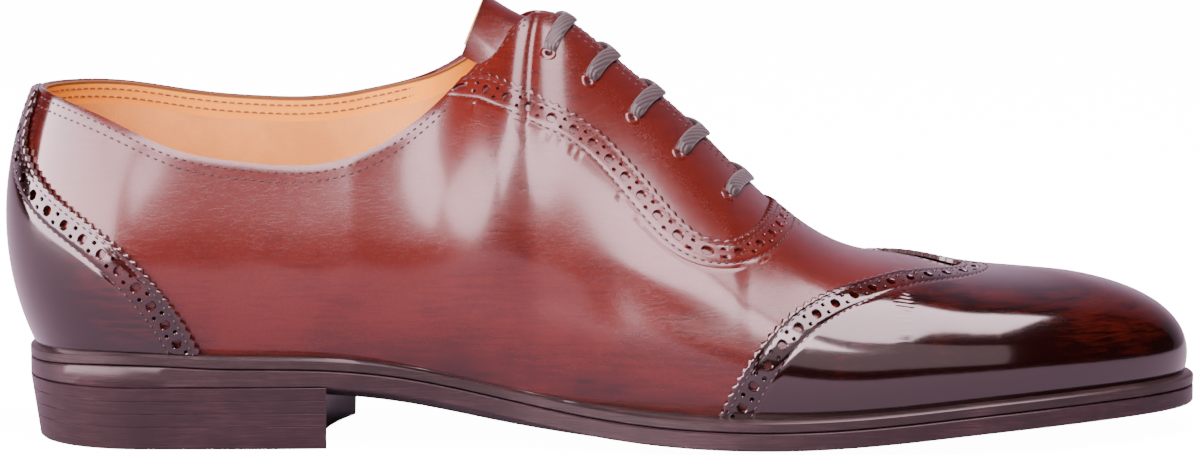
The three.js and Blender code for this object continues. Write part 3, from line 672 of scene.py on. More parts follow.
# Lower border of the facing, where the quarter lies over it: along the outer side, and rise
FACING_EDGE = (("along", "rise"), (
    (0.383, 1.00),
    (0.403, 0.90),
    (0.420, 0.80),
    (0.440, 0.72),
    (0.471, 0.68),
    (0.500, 0.68),
    (0.522, 0.66),
    (0.545, 0.61),
    (0.566, 0.555),
    (0.580, 0.540),
    (0.594, 0.560),
    (0.606, 0.610),
    (0.616, 0.690),
    (0.624, 0.820),
    (0.628, 1.00),
))


def edge_line(rows):
    """A smooth line through given places, as two splines over the chords' length, with its
    points at even steps of a fifth of half a hole pitch along the shoe."""
    along, rise = np.array(rows).T
    knots = run_along(round_shoe(along, rise))
    fine = np.linspace(0, knots[-1], 1200)
    along, rise = spline(knots, along)(fine), spline(knots, rise)(fine)
    rise = np.minimum(rise, 1)
    length = run_along(round_shoe(along, rise))
    halves = 2 * int(round(length[-1] / (2 * HALF_PITCH))) - 0.5
    count = int(round(halves * HALF_STEPS * 2)) // 2
    even = np.linspace(0, length[-1], count + 1)
    return np.interp(even, length, along), np.interp(even, length, rise)


def smoothed(values, reach):
    """A row of numbers, each replaced by the mean of its neighbours under a bell curve whose width
    is a reach of steps. Beyond the ends the row is carried on straight."""
    steps = np.arange(-3 * reach, 3 * reach + 1)
    bell = np.exp(-0.5 * (steps / reach) ** 2)
    ahead = 2 * values[-1] - values[-2:-3 * reach - 2:-1]
    behind = 2 * values[0] - values[3 * reach:0:-1]
    return np.convolve(np.concatenate([behind, values, ahead]), bell / bell.sum(), "valid")


def march(along, rise, widths, turn, first_heading, last_heading):
    """Carries an edge line over the surface by the given widths, square to itself: each step goes
    along normal x tangent, turned into along and rise by the inverse of the surface's metric. Near
    an end with a heading, the points keep that end's own rise and go ahead (1) or back (-1)."""
    table_along, table_rise = [along], [rise]
    share = np.linspace(0, 1, len(along))
    step = 0.002
    for width in np.diff(widths):
        inside = np.clip(rise, 2 * step, 1 - 2 * step)
        around = (round_shoe(along + 5 * step, inside) - round_shoe(along - 5 * step, inside)) / (10 * step)
        up = (round_shoe(along, inside + step) - round_shoe(along, inside - step)) / (2 * step)
        tangent = np.gradient(round_shoe(along, rise), axis=0)
        across = np.cross(np.cross(around, up), tangent)
        across *= turn / np.linalg.norm(across, axis=-1, keepdims=True)
        aa, ar, rr = (around * around).sum(-1), (around * up).sum(-1), (up * up).sum(-1)
        pa, pr = (across * around).sum(-1), (across * up).sum(-1)
        det = aa * rr - ar * ar
        go_along = smoothed((rr * pa - ar * pr) / det, 5)
        go_rise = smoothed((aa * pr - ar * pa) / det, 5)
        first = abs(first_heading) * (1 - smooth_step(0, 0.06, share))
        last = abs(last_heading) * smooth_step(0.94, 1, share)
        flat = (first * first_heading + last * last_heading) / np.sqrt(aa)
        hold = first + last
        along = along + width * (go_along * (1 - hold) + flat)
        rise = np.minimum(rise + width * go_rise * (1 - hold), 1)
        table_along.append(along)
        table_rise.append(rise)
    return np.stack(table_along), np.stack(table_rise)


def punched_cells(left, right, low, high, radius, across, up):
    """Cells with a round hole: rings of points go from the circle to the rectangle's own edge, which
    has the given numbers of steps across and up. Arrays of cells give arrays of points and quads."""
    shares_x, shares_y = np.arange(across) / across, np.arange(up) / up
    around = np.concatenate([
        np.c_[shares_x, 0 * shares_x],
        np.c_[0 * shares_y + 1, shares_y],
        np.c_[1 - shares_x, 0 * shares_x + 1],
        np.c_[0 * shares_y, 1 - shares_y],
    ])
    corner = np.stack([left, low], -1)[:, None]
    edge = corner + around * np.stack([right - left, high - low], -1)[:, None]
    middle = np.stack([left + right, low + high], -1)[:, None] / 2
    spoke = edge - middle
    circle = middle + radius * spoke / np.linalg.norm(spoke, axis=-1, keepdims=True)
    rings = np.array([0, 0.16, 0.5, 1])[:, None, None]
    points = circle[:, None] * (1 - rings) + edge[:, None] * rings
    cell = grid_faces(4, len(around), closed=True)
    faces = cell[None] + (np.arange(len(left)) * 4 * len(around))[:, None, None]
    return points.reshape(-1, 2), faces.reshape(-1, 4)


def brogue_band(steps):
    """The flat pattern of a brogued edge in steps along and mm across: gimped teeth, then cells
    with a big hole and cells with two small ones in turn, then the strip of the second stitch row.
    The last half cell is plain. Returns points and quads, with along in steps."""
    parts = []
    teeth = TOOTH * np.array([1, 0.45, 0, 0.45])[np.arange(steps + 1) % 4]
    rows = teeth[:, None] + (FIRST_ROW - teeth[:, None]) * np.array([0, 0.2, 0.6, 1])
    place = np.broadcast_to(np.arange(steps + 1.0)[:, None], rows.shape)
    parts.append((np.stack([place, rows], -1).reshape(-1, 2), grid_faces(*rows.shape)))
    cells = steps // HALF_STEPS
    start = np.arange(cells) * float(HALF_STEPS)
    big, small = start[0::2], start[1::2]
    middle = (HOLES_FROM + HOLES_TO) / 2
    scale = HALF_PITCH / HALF_STEPS
    for left, low, high, radius, up in (
        (big, HOLES_FROM, HOLES_TO, BIG_HOLE, 6),
        (small, HOLES_FROM, middle, SMALL_HOLE, 3),
        (small, middle, HOLES_TO, SMALL_HOLE, 3),
    ):
        level = np.ones(len(left))
        cell, faces = punched_cells(
            left * scale, (left + HALF_STEPS) * scale, low * level, high * level, radius, HALF_STEPS, up
        )
        parts.append((cell / [scale, 1], faces))
    rest = np.arange(cells * HALF_STEPS, steps + 1.0)
    plain = np.stack(np.meshgrid(rest, np.linspace(HOLES_FROM, HOLES_TO, 7), indexing="ij"), -1)
    if len(rest) > 1:
        parts.append((plain.reshape(-1, 2), grid_faces(*plain.shape[:2])))
    width = np.array([HOLES_TO, 7.3, SECOND_ROW, 7.9, 8.5, BAND])
    strip = np.stack(np.meshgrid(np.arange(steps + 1.0), width, indexing="ij"), -1)
    parts.append((strip.reshape(-1, 2), grid_faces(*strip.shape[:2])))
    return join_patterns(parts)


def join_patterns(parts):
    """Patterns one after another, with their faces counted on."""
    points, faces, count = [], [], 0
    for part_points, part_faces in parts:
        points.append(part_points)
        faces.append(part_faces + count)
        count += len(part_points)
    return np.concatenate(points), np.concatenate(faces)


def lookup(table, widths, step, width):
    """Bilinear reading of a marched table at steps along and mm across."""
    i = np.clip(np.floor(step).astype(int), 0, table.shape[1] - 2)
    k = np.clip(np.searchsorted(widths, width) - 1, 0, len(widths) - 2)
    u, v = step - i, (width - widths[k]) / (widths[k + 1] - widths[k])
    near = table[k, i] * (1 - u) + table[k, i + 1] * u
    far = table[k + 1, i] * (1 - u) + table[k + 1, i + 1] * u
    return near * (1 - v) + far * v


class Brogue:
    """A brogued edge of one panel: the marched places of its whole width, and the flat pattern."""

    def __init__(self, rows, turn, first_heading, last_heading, reach=BAND):
        along, rise = edge_line(rows)
        self.widths = np.r_[np.arange(0, BAND, 0.5), BAND, np.arange(BAND + 1, reach + 1)]
        self.along, self.rise = march(along, rise, self.widths, turn, first_heading, last_heading)
        self.steps = len(along) - 1
        self.points, self.faces = brogue_band(self.steps)

    def at(self, step, width):
        """Place on the shoe, as along and rise, of steps along the edge and mm across it."""
        tables = (self.along, self.rise)
        return [lookup(table, self.widths, step, width) for table in tables]

    def border(self, width=BAND):
        """The line at one width from the edge, at every step."""
        steps = np.arange(self.steps + 1.0)
        return self.at(steps, np.full(len(steps), width))

    def panel(self, far_along, far_rise, columns):
        """The band's pattern and the panel behind it, ruled from the band's inner border to a far
        line with as many points. Returns along, rise, faces and the place in mm along and across."""
        band_along, band_rise = self.at(self.points[:, 0], self.points[:, 1])
        near_along, near_rise = self.border()
        share = np.linspace(0, 1, columns)
        body_along = near_along[:, None] * (1 - share) + far_along[:, None] * share
        body_rise = near_rise[:, None] * (1 - share) + far_rise[:, None] * share
        steps = np.arange(self.steps + 1.0)
        body_uv = np.stack(np.meshgrid(steps, BAND + FAR_FROM_EDGE * share, indexing="ij"), -1)
        points, faces = join_patterns((
            (np.c_[band_along, band_rise, self.points], self.faces),
            (
                np.c_[body_along.ravel(), body_rise.ravel(), body_uv.reshape(-1, 2)],
                grid_faces(*body_along.shape),
            ),
        ))
        scale = HALF_PITCH / HALF_STEPS
        return points[:, 0], points[:, 1], faces, points[:, 2:] * [scale, 1]


def furrow(width):
    """How far the two stitch rows pull the leather in: a soft trough at each, 0.16 mm deep."""
    first, second = (np.exp(-(((width - row) / 0.5) ** 2)) for row in (FIRST_ROW, SECOND_ROW))
    return 0.16 * (first + second)


quarter_edge = Brogue(FACING_EDGE[1], -1, -1, 1, reach=BAND + 3)


def burnished_calf(name, polish):
    """Hand-polished calf: a warm red-brown that the burnish darkens at toe and heel and in wiping
    streaks, with a painted shade low on the upper for the dark welt's reflection and a painted shade
    along each cut edge, pores and creases where the leather bends and a wax coat over all. The
    panel's own place gives that edge its painted shade. Polish 1 is the mirror shine of cap and counter."""
    material, tree, shader = new_material(name)
    coordinates = node(tree, "ShaderNodeTexCoord")
    where = coordinates.outputs["Object"]
    axes = node(tree, "ShaderNodeSeparateXYZ", {"Vector": where}).outputs
    toe = math(tree, "MAXIMUM", ramp(tree, axes["X"], 0.16, 0.25), polish)
    heel = ramp(tree, axes["X"], -0.012, -0.042)
    # Painted shade: below 34 mm over the floor, and fully at 16 mm, the colour turns darker, standing in
    # for the dark welt reflected in the glossy leather.
    low = ramp(tree, axes["Z"], 0.034, 0.016)
    cloud = noise(tree, where, 22.0, 4.0, 0.6, 0.4)
    wiped = node(tree, "ShaderNodeMapping", {
        "Vector": where, "Scale": (90.0, 90.0, 900.0), "Rotation": (0.0, 0.62, 0.0),
    })
    streak = noise(tree, wiped.outputs[0], 1.0, 5.0, 0.7, 0.3)
    dark = math(tree, "ADD", math(tree, "MULTIPLY", toe, 0.95), math(tree, "MULTIPLY", heel, 0.5))
    dark = math(tree, "ADD", dark, math(tree, "MULTIPLY", low, 0.35))
    dark = math(tree, "ADD", dark, ramp(tree, cloud, 0.3, 0.75, -0.25, 0.45))
    dark = math(tree, "ADD", dark, ramp(tree, streak, 0.35, 0.7, -0.14, 0.2), clamp=True)
    colour = blend(tree, dark, (0.08, 0.008, 0.004, 1), (0.005, 0.0007, 0.0006, 1))
    fine = place_group(tree, grain, {"Pore size": 0.00055, "Creasing": 0.9})
    worked = math(tree, "SUBTRACT", 1.0, math(tree, "ADD", toe, heel), clamp=True)
    pores = math(tree, "MULTIPLY", fine["Pores"], math(tree, "MULTIPLY", worked, 0.3))
    colour = blend(tree, pores, colour, (0.03, 0.006, 0.005, 1))
    panel = node(tree, "ShaderNodeSeparateXYZ", {"Vector": coordinates.outputs["UV"]}).outputs
    # Painted shade: within 1.6 mm of the panel's cut edge, over the gimped teeth, the colour turns darker.
    edge = ramp(tree, panel["Y"], 0.0016, 0.0002)
    colour = blend(tree, math(tree, "MULTIPLY", edge, 0.75), colour, (0.03, 0.008, 0.006, 1))
    depth = math(tree, "ADD", math(tree, "MULTIPLY", worked, 0.8), 0.2)
    height = math(tree, "MULTIPLY", fine["Height"], depth)
    slow = noise(tree, where, 60.0, 3.0)
    first = node(tree, "ShaderNodeBump", {"Height": slow, "Strength": 0.12, "Distance": 0.0012})
    bump = node(tree, "ShaderNodeBump", {
        "Height": height, "Strength": 0.12, "Distance": 0.00016, "Normal": first.outputs[0],
    })
    rough = ramp(tree, worked, 0.0, 1.0, 0.13, 0.24)
    set_inputs(tree, shader, {
        "Base Color": colour, "Roughness": rough, "Normal": bump.outputs[0],
        "Coat Weight": ramp(tree, worked, 0.0, 1.0, 1.0, 0.55), "IOR": 1.55,
        "Coat Roughness": ramp(tree, worked, 0.0, 1.0, 0.08, 0.14),
        "Specular IOR Level": 0.35,
    })
    return material


calf = burnished_calf("burnished calf", 0.0)
polished_calf = burnished_calf("polished calf", 1.0)

# The quarter's top line and crest, from the back seam round to well under the toe cap
UNDER_CAP = 0.83
COLLAR_STEPS = 90
CREST_STEPS = 45
PANEL_ROWS = 44

border_along, border_rise = quarter_edge.border()
collar_along = np.linspace(0, border_along[0], COLLAR_STEPS)[:-1]
crest_along = np.linspace(border_along[-1], UNDER_CAP, CREST_STEPS)[1:]
top_along = np.r_[collar_along, border_along, crest_along]
top_rise = np.r_[collar_along * 0 + 1, border_rise, crest_along * 0 + 1]
top_length = run_along(round_shoe(top_along, top_rise))
bands_end = len(collar_along) + len(border_along) - 1
bottom_along = np.interp(
    top_length, top_length[[0, len(collar_along), bands_end, -1]], [0, 0.335, 0.65, 0.72]
)
share = np.linspace(0, 1, PANEL_ROWS)
body_along = top_along[:, None] * (1 - share) + bottom_along[:, None] * share
body_rise = top_rise[:, None] * (1 - share) - 0.03 * share
band_along, band_rise = quarter_edge.at(quarter_edge.points[:, 0], quarter_edge.points[:, 1])
body_uv = np.full((body_along.size, 2), FAR_FROM_EDGE)
points, faces = join_patterns((
    (np.c_[band_along, band_rise, quarter_edge.points * [HALF_PITCH / HALF_STEPS, 1]], quarter_edge.faces),
    (np.c_[body_along.ravel(), body_rise.ravel(), body_uv], grid_faces(*body_along.shape)),
))
along, rise, faces, (uv_s, uv_w) = both_sides(points[:, 0], points[:, 1], faces, points[:, 2], points[:, 3])

# Creases, in mm: middle (from the back, over the ground), half length, half width,
# slope in degrees and depth, below nought for a ridge. Feet bend the vamp and the waist there.
CREASES = (
    (166, 37, 15, 5.0, -24, 0.40),
    (160, 44, 13, 4.0, -30, -0.25),
    (148, 40, 9, 5.0, -48, 0.35),
    (139, 31, 14, 5.5, -20, -0.35),
    (116, 42, 26, 6.0, -9, 0.35),
    (110, 29, 24, 6.5, -4, -0.35),
    (84, 36, 12, 6.0, 14, 0.28),
    (60, 41, 10, 6.0, -30, 0.25),
)


def creases(along, rise):
    """Depth of the creases: the sum of depth * exp(-(l / length)^2 - (w / width)^2), with l and w
    measured along and over each one in side view."""
    place = round_shoe(along, rise)
    depth = np.zeros(len(along))
    for x, z, length, width, slope, deep in CREASES:
        slope = np.radians(slope)
        ahead, over = place[:, 0] - x, place[:, 2] - z
        lengthwise = ahead * np.cos(slope) + over * np.sin(slope)
        across_it = over * np.cos(slope) - ahead * np.sin(slope)
        depth += deep * np.exp(-((lengthwise / length) ** 2) - (across_it / width) ** 2)
    return depth


quarters = leather_panel(
    "quarters_and_vamp", along, rise, faces, np.c_[uv_s, uv_w],
    -furrow(uv_w) - creases(along, rise) * smooth_step(8, 20, uv_w), SUBSTANCE, calf, "upper_leather",
)
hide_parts("upper")


# Upper: facings
# The lace holes are in a strip of the same calf that starts under the quarters' gimped edge, one
# substance lower, and ends in a folded edge at the collar and along the gap.
LACE_COUNT = 5
LACE_LEAN = 3.4
EYELET_RADIUS = 1.5

under_along, under_rise = quarter_edge.border(BAND + 2.5)
below_top = np.flatnonzero(under_rise < 0.9995)
under_along, under_rise = (row[below_top[0] - 1:below_top[-1] + 2] for row in (under_along, under_rise))
run = run_along(round_shoe(under_along, under_rise))
facing_top = np.interp(run, run[[0, -1]], under_along[[0, -1]])
share = np.linspace(0, 1, 52)
facing_along = facing_top[:, None] * (1 - share) + under_along[:, None] * share
facing_rise = 1 * (1 - share) + under_rise[:, None] * share
along, rise, faces = grid_pattern(facing_along, facing_rise)
along, rise, faces, _ = both_sides(along, rise, faces)
facings = leather_panel(
    "facings", along, rise, faces, np.full((len(along), 2), FAR_FROM_EDGE),
    np.full(len(along), -FACING_STEP), SUBSTANCE, calf, "upper_leather", roll=0.35,
)
lace_x = np.linspace(FACING_TOP + 7.8, THROAT - 0.4, LACE_COUNT)
eyelet_reach = np.linspace(16.5, 18.8, LACE_COUNT)


def eyelets(side):
    """Middles of one side's lace holes and the leather's normals there."""
    along = along_at(lace_x - LACE_LEAN, side)
    rise = rise_below_top(along, eyelet_reach)
    face, over = skin(along, rise, -FACING_STEP), skin(along, rise, 0.0)
    return along, rise, face, over - face


def spokes(normal, count):
    """The unit normal of a hole, and directions square to it, evenly round it."""
    normal = normal / np.linalg.norm(normal)
    first = np.cross(normal, [1.0, 0, 0])
    first /= np.linalg.norm(first)
    turn = np.arange(count) * 2 * np.pi / count
    return normal, np.cos(turn)[:, None] * first + np.sin(turn)[:, None] * np.cross(normal, first)


def bore_eyelets(piece):
    """Cuts a round hole through a panel at each lace hole, with a cylinder along its normal."""
    for side in (-1, 1):
        for centre, normal in zip(*eyelets(side)[2:]):
            normal, around = spokes(normal, 16)
            circle = EYELET_RADIUS * around
            ends = np.concatenate([centre + circle - 4 * normal, centre + circle + 4 * normal])
            points = in_metres(ends)
            i, j = np.arange(16), (np.arange(16) + 1) % 16
            walls = np.stack([i, j, j + 16, i + 16], -1).tolist()
            mesh = bpy.data.meshes.new("bore")
            mesh.from_pydata(points.tolist(), [], walls + [list(range(15, -1, -1)), list(range(16, 32))])
            bore = bpy.data.objects.new("bore", mesh)
            bpy.context.scene.collection.objects.link(bore)
            cut = piece.modifiers.new("lace hole", "BOOLEAN")
            cut.object, cut.operation, cut.solver = bore, "DIFFERENCE", "EXACT"
            bpy.context.view_layer.objects.active = piece
            bpy.ops.object.modifier_apply(modifier=cut.name)
            bpy.data.objects.remove(bore)


bore_eyelets(facings)


# Toe cap and heel counter
# Two overlays of the same calf, gimped, punched and sewn like the quarters' edge: a cap whose rear
# edge is a long U over the vamp, and a counter whose front edge sweeps up to the back seam.
OVERLAY = 1.2
LAP_CLEARANCE = 0.5
CAP_EDGE = (("along", "rise"), (
    (0.579, -0.03),
    (0.583, 0.00),
    (0.596, 0.10),
    (0.608, 0.18),
    (0.631, 0.33),
    (0.659, 0.48),
    (0.693, 0.63),
    (0.727, 0.75),
    (0.765, 0.88),
    (0.780, 0.95),
    (0.785, 1.00),
))
COUNTER_EDGE = (("along", "rise"), (
    (0.187, -0.03),
    (0.184, 0.00),
    (0.175, 0.12),
    (0.163, 0.24),
    (0.147, 0.36),
    (0.125, 0.48),
    (0.104, 0.56),
    (0.078, 0.64),
    (0.056, 0.72),
    (0.040, 0.80),
    (0.033, 0.90),
    (0.030, 0.985),
))


def overlay(name, edge, far_along, columns, node_name):
    """A brogued panel over the upper, from its edge to the toe or the back seam."""
    far_rise = edge.border()[1]
    along, rise, faces, uv = edge.panel(np.full(len(far_rise), far_along), far_rise, columns)
    along = np.clip(along, 0, 1)
    along, rise, faces, (uv_s, uv_w) = both_sides(along, rise, faces, uv[:, 0], uv[:, 1])
    piece = leather_panel(
        name, along, rise, faces, np.c_[uv_s, uv_w], LAP_CLEARANCE + OVERLAY - furrow(uv_w), OVERLAY,
        polished_calf, "upper_leather",
    )
    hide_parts(node_name)


cap_edge = Brogue(CAP_EDGE[1], -1, 0, 1)
overlay("toe_cap_calf", cap_edge, 1.0, 60, "toe_cap")
counter_edge = Brogue(COUNTER_EDGE[1], 1, 0, -1)
overlay("heel_counter_calf", counter_edge, 0.0, 40, "heel_counter")


# Tongue
# Calf over tan lining, under the facings and the laces, with a slanting end that stands up over
# the collar.
TONGUE_WIDTH = 46.0
TONGUE_REACH = 18.8
TONGUE_RISE = 8.0
TONGUE_ROUND = 14.5
TONGUE_SLANT = 0.4
TONGUE_DEPTH = WALL + 1.05


def on_side(x, side, rise, offset):
    """A point of the skin by x along the last, side and rise."""
    return skin(along_at(x, side), rise, offset)


def tongue_sheet(offset):
    """The sheet at an offset from the facings' underside: it follows them up to their end, and from
    there each row of points rises and rounds in to an arch."""
    arc = np.linspace(0.5, -0.5, 41) * TONGUE_WIDTH
    x = np.linspace(THROAT + 9, FACING_TOP + 6, 40)
    grid = np.zeros((len(x), len(arc), 3))
    for i, place in enumerate(arc):
        side = -1 if place < 0 else 1
        rise = rise_below_top(along_at(x, side), abs(place) + 0.01)
        grid[:, i] = on_side(x, side, rise, offset - TONGUE_DEPTH)
    middle = on_side(np.array([x[-1]]), 1, rise_below_top(along_at(x[-1:], 1), 0.01), -TONGUE_DEPTH)
    share = np.linspace(0, 1, 26)[1:, None]
    path = np.stack([-TONGUE_REACH * share, 0 * share, TONGUE_RISE * share**1.8], -1)
    turn = arc / TONGUE_ROUND
    drop = TONGUE_ROUND - (TONGUE_ROUND + offset) * np.cos(turn)
    arch = np.stack([-TONGUE_SLANT * drop, (TONGUE_ROUND + offset) * np.sin(turn), -drop], -1) + middle
    free = grid[-1] * (1 - share[..., None]) + arch * share[..., None] + path
    return np.concatenate([grid, free])


tongue_top, tongue_middle, tongue_low = (tongue_sheet(offset) for offset in (0.0, -1.0, -1.75))
tongue_run = np.linalg.norm(np.diff(tongue_top[::-1], axis=0), axis=-1)
tongue_end = np.concatenate([0 * tongue_run[:1], np.cumsum(tongue_run, 0)])[::-1]
tongue_faces = grid_faces(*tongue_top.shape[:2])
tongue_uv = np.c_[0 * tongue_end.ravel(), tongue_end.ravel()]
tongue = add_piece(
    "tongue_calf", *solid_between(tongue_top.reshape(-1, 3), tongue_middle.reshape(-1, 3), tongue_faces),
    calf, "upper_leather", np.concatenate([tongue_uv, tongue_uv]),
)
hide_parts("tongue")
add_piece(
    "tongue_lining",
    *solid_between((tongue_middle - [0, 0, 0.02]).reshape(-1, 3), tongue_low.reshape(-1, 3), tongue_faces),
    natural_lining, "upper_leather", np.full((2 * len(tongue_uv), 2), FAR_FROM_EDGE),
)


# Stitches and eyelets
# Dark waxed thread in short sunk stitches: two rows on every gimped edge, round the collar and
# along the facings, and two in the lining. The lace holes are bare, with a
# rim that the punch and the lace have pressed round.
STITCH = 1.45
STITCH_PITCH = 2.1
THREAD = 0.24
COLLAR_ROWS = (2.0, 4.3)


def waxed_thread(name, colour):
    """Twisted waxed thread: fine slanting plies over one colour."""
    material, tree, shader = new_material(name)
    where = node(tree, "ShaderNodeTexCoord").outputs["Object"]
    wave = node(tree, "ShaderNodeTexWave", {"Vector": where, "Scale": 900.0, "Distortion": 2.0})
    ply = wave.outputs["Fac"]
    darker = tuple(0.45 * value for value in colour[:3]) + (1,)
    bump = node(tree, "ShaderNodeBump", {"Height": ply, "Strength": 0.5, "Distance": 0.0001})
    set_inputs(tree, shader, {
        "Base Color": blend(tree, ply, darker, colour), "Roughness": 0.5, "Normal": bump.outputs[0],
        "Coat Weight": 0.2,
    })
    return material


def stitch_row(points, normals, pitch=STITCH_PITCH, length=STITCH):
    """Stitches at even places along a line of points in mm: each a six-sided rod with pointed ends,
    which its two needle holes pull down. Returns points and faces."""
    run = run_along(points)
    count = max(int(run[-1] / pitch), 1)
    middle = (np.arange(count) + 0.5) * run[-1] / count
    ends = [np.stack([np.interp(middle + step, run, row) for row in points.T], -1)
            for step in (-length / 2, 0, length / 2)]
    up = np.stack([np.interp(middle, run, row) for row in normals.T], -1)
    along = ends[2] - ends[0]
    along /= np.linalg.norm(along, axis=-1, keepdims=True)
    wide = np.cross(up, along)
    wide /= np.linalg.norm(wide, axis=-1, keepdims=True)
    up = np.cross(along, wide)
    place = np.array([-0.5, -0.44, -0.2, 0.2, 0.44, 0.5]) * length
    size = np.array([0.0, 0.75, 1, 1, 0.75, 0.0]) * THREAD
    sunk = -1.6 * THREAD * (2 * np.abs(place) / length) ** 4
    sides, rings = 6, len(place)
    turn = np.arange(sides) * 2 * np.pi / sides
    ring = size[:, None, None] * (
        np.cos(turn)[:, None] * wide[:, None, None] + np.sin(turn)[:, None] * up[:, None, None]
    )
    spine = ends[1][:, None] + place[:, None] * along[:, None] + sunk[:, None] * up[:, None]
    rods = (spine[:, :, None] + ring).reshape(count, -1, 3)
    quads = grid_faces(rings, sides, closed=True)
    first, last, end = quads[:sides], quads[-sides:], (rings - 1) * sides
    faces = np.concatenate([
        np.stack([0 * first[:, 0], first[:, 1], first[:, 2], first[:, 2]], -1), quads[sides:-sides],
        np.stack([last[:, 0], end + 0 * last[:, 0], last[:, 3], last[:, 3]], -1),
    ])
    every = faces[None] + rings * sides * np.arange(count)[:, None, None]
    return rods.reshape(-1, 3), every.reshape(-1, 4)


def on_skin(along, rise, offset):
    """A line on the skin with its normals."""
    face = skin(along, rise, offset)
    return face, skin(along, rise, offset + 1.0) - face


def edge_rows(edge, offset):
    """Both stitch rows of a gimped edge, on both sides of the shoe."""
    rows = []
    for width in (FIRST_ROW, SECOND_ROW):
        along, rise = edge.border(width)
        along = np.clip(along, 0.002, 1)
        keep = rise < 0.995
        for place in (along, other_side(along)):
            rows.append(stitch_row(*on_skin(place[keep], rise[keep], offset - 0.12)))
    return rows


def collar_rows(first, last, offset, depth=0.0):
    """Both rows round the collar or along the facings, between two places on the outer side."""
    rows = []
    for below in COLLAR_ROWS:
        along = np.linspace(first, last, 160)
        for place in (along, other_side(along)):
            rise = rise_below_top(place, below + depth)
            rows.append(stitch_row(*on_skin(place, rise, offset)))
    return rows


dark_thread = waxed_thread("dark thread", (0.03, 0.012, 0.01, 1))
brown_thread = waxed_thread("brown thread", (0.22, 0.085, 0.03, 1))
collar_end = FACING_EDGE[1][0][0]
facing_end = float(along_at(np.array(THROAT - 1.0), -1))
corner = float(along_at(np.array(FACING_TOP - 1.5), -1))
upper_rows = [
    *edge_rows(quarter_edge, 0.0),
    *edge_rows(cap_edge, LAP_CLEARANCE + OVERLAY),
    *edge_rows(counter_edge, LAP_CLEARANCE + OVERLAY),
    *collar_rows(0.034, collar_end - 0.012, 0.0),
    *collar_rows(collar_end + 0.004, corner - 0.004, -FACING_STEP),
    *collar_rows(corner + 0.012, facing_end, -FACING_STEP),
]
add_piece(
    "upper_stitches", *join_patterns(upper_rows), dark_thread, "upper_leather", sharp_angle=0
)
lining_rows = collar_rows(0.02, collar_end, -SUBSTANCE - 1.0)
add_piece(
    "lining_stitches", *join_patterns(lining_rows), brown_thread,
    "lining_leather", sharp_angle=0,
)


def closed_ring(grid):
    """Points and quads of a ring of closed sections, whose outside is turned out."""
    rows, columns = grid.shape[:2]
    i, j = np.meshgrid(np.arange(rows), np.arange(columns), indexing="ij")
    k, m = (i + 1) % rows, (j + 1) % columns
    corners = [i * columns + j, k * columns + j, k * columns + m, i * columns + m]
    return grid.reshape(-1, 3), np.stack([corner.ravel() for corner in corners], -1)


def eyelet_rim(centre, normal):
    """A low ring of 20 by 8 points that narrows a lace hole to the lace."""
    normal, spoke = spokes(normal, 20)
    tube = np.arange(8) * np.pi / 4
    radius = (EYELET_RADIUS - 0.1 + 0.75 * np.cos(tube))[None, :, None]
    ring = centre + spoke[:, None] * radius + 0.22 * np.sin(tube)[None, :, None] * normal
    return closed_ring(ring)


rims = [eyelet_rim(centre, normal) for side in (-1, 1) for centre, normal in zip(*eyelets(side)[2:])]
rim_points, rim_faces = join_patterns(rims)
add_piece(
    "lace_hole_rims", rim_points, rim_faces, calf, "upper_leather",
    np.full((len(rim_points), 2), FAR_FROM_EDGE),
)


# Laces
# Flat waxed cotton, 4 mm wide: five straight bars over the gap, each dipping into its lace holes
# and tapering where the hole squeezes it. Only these stretches of the lace are built.
LACE_WIDTH = 4.0
LACE_THICKNESS = 1.3


def waxed_cotton():
    """Dark brown-grey waxed braid: fine slanting strands with a dull wax shine."""
    material, tree, shader = new_material("waxed cotton")
    where = node(tree, "ShaderNodeTexCoord").outputs["Object"]
    turned = node(tree, "ShaderNodeMapping", {"Vector": where, "Rotation": (0.0, 0.0, 0.6)})
    strands = node(tree, "ShaderNodeTexWave", {
        "Vector": turned.outputs[0], "Scale": 420.0, "Distortion": 1.2, "Detail": 2.0,
    }).outputs["Fac"]
    tone = noise(tree, where, 300.0, 4.0)
    colour = blend(tree, strands, (0.008, 0.006, 0.006, 1), (0.03, 0.025, 0.024, 1))
    colour = blend(tree, math(tree, "MULTIPLY", tone, 0.5), colour, (0.045, 0.037, 0.036, 1))
    bump = node(tree, "ShaderNodeBump", {"Height": strands, "Strength": 0.6, "Distance": 0.0002})
    set_inputs(tree, shader, {
        "Base Color": colour, "Roughness": 0.45, "Normal": bump.outputs[0], "Sheen Weight": 0.2,
        "Coat Weight": 0.25, "Coat Roughness": 0.3,
    })
    return material


lace_cotton = waxed_cotton()


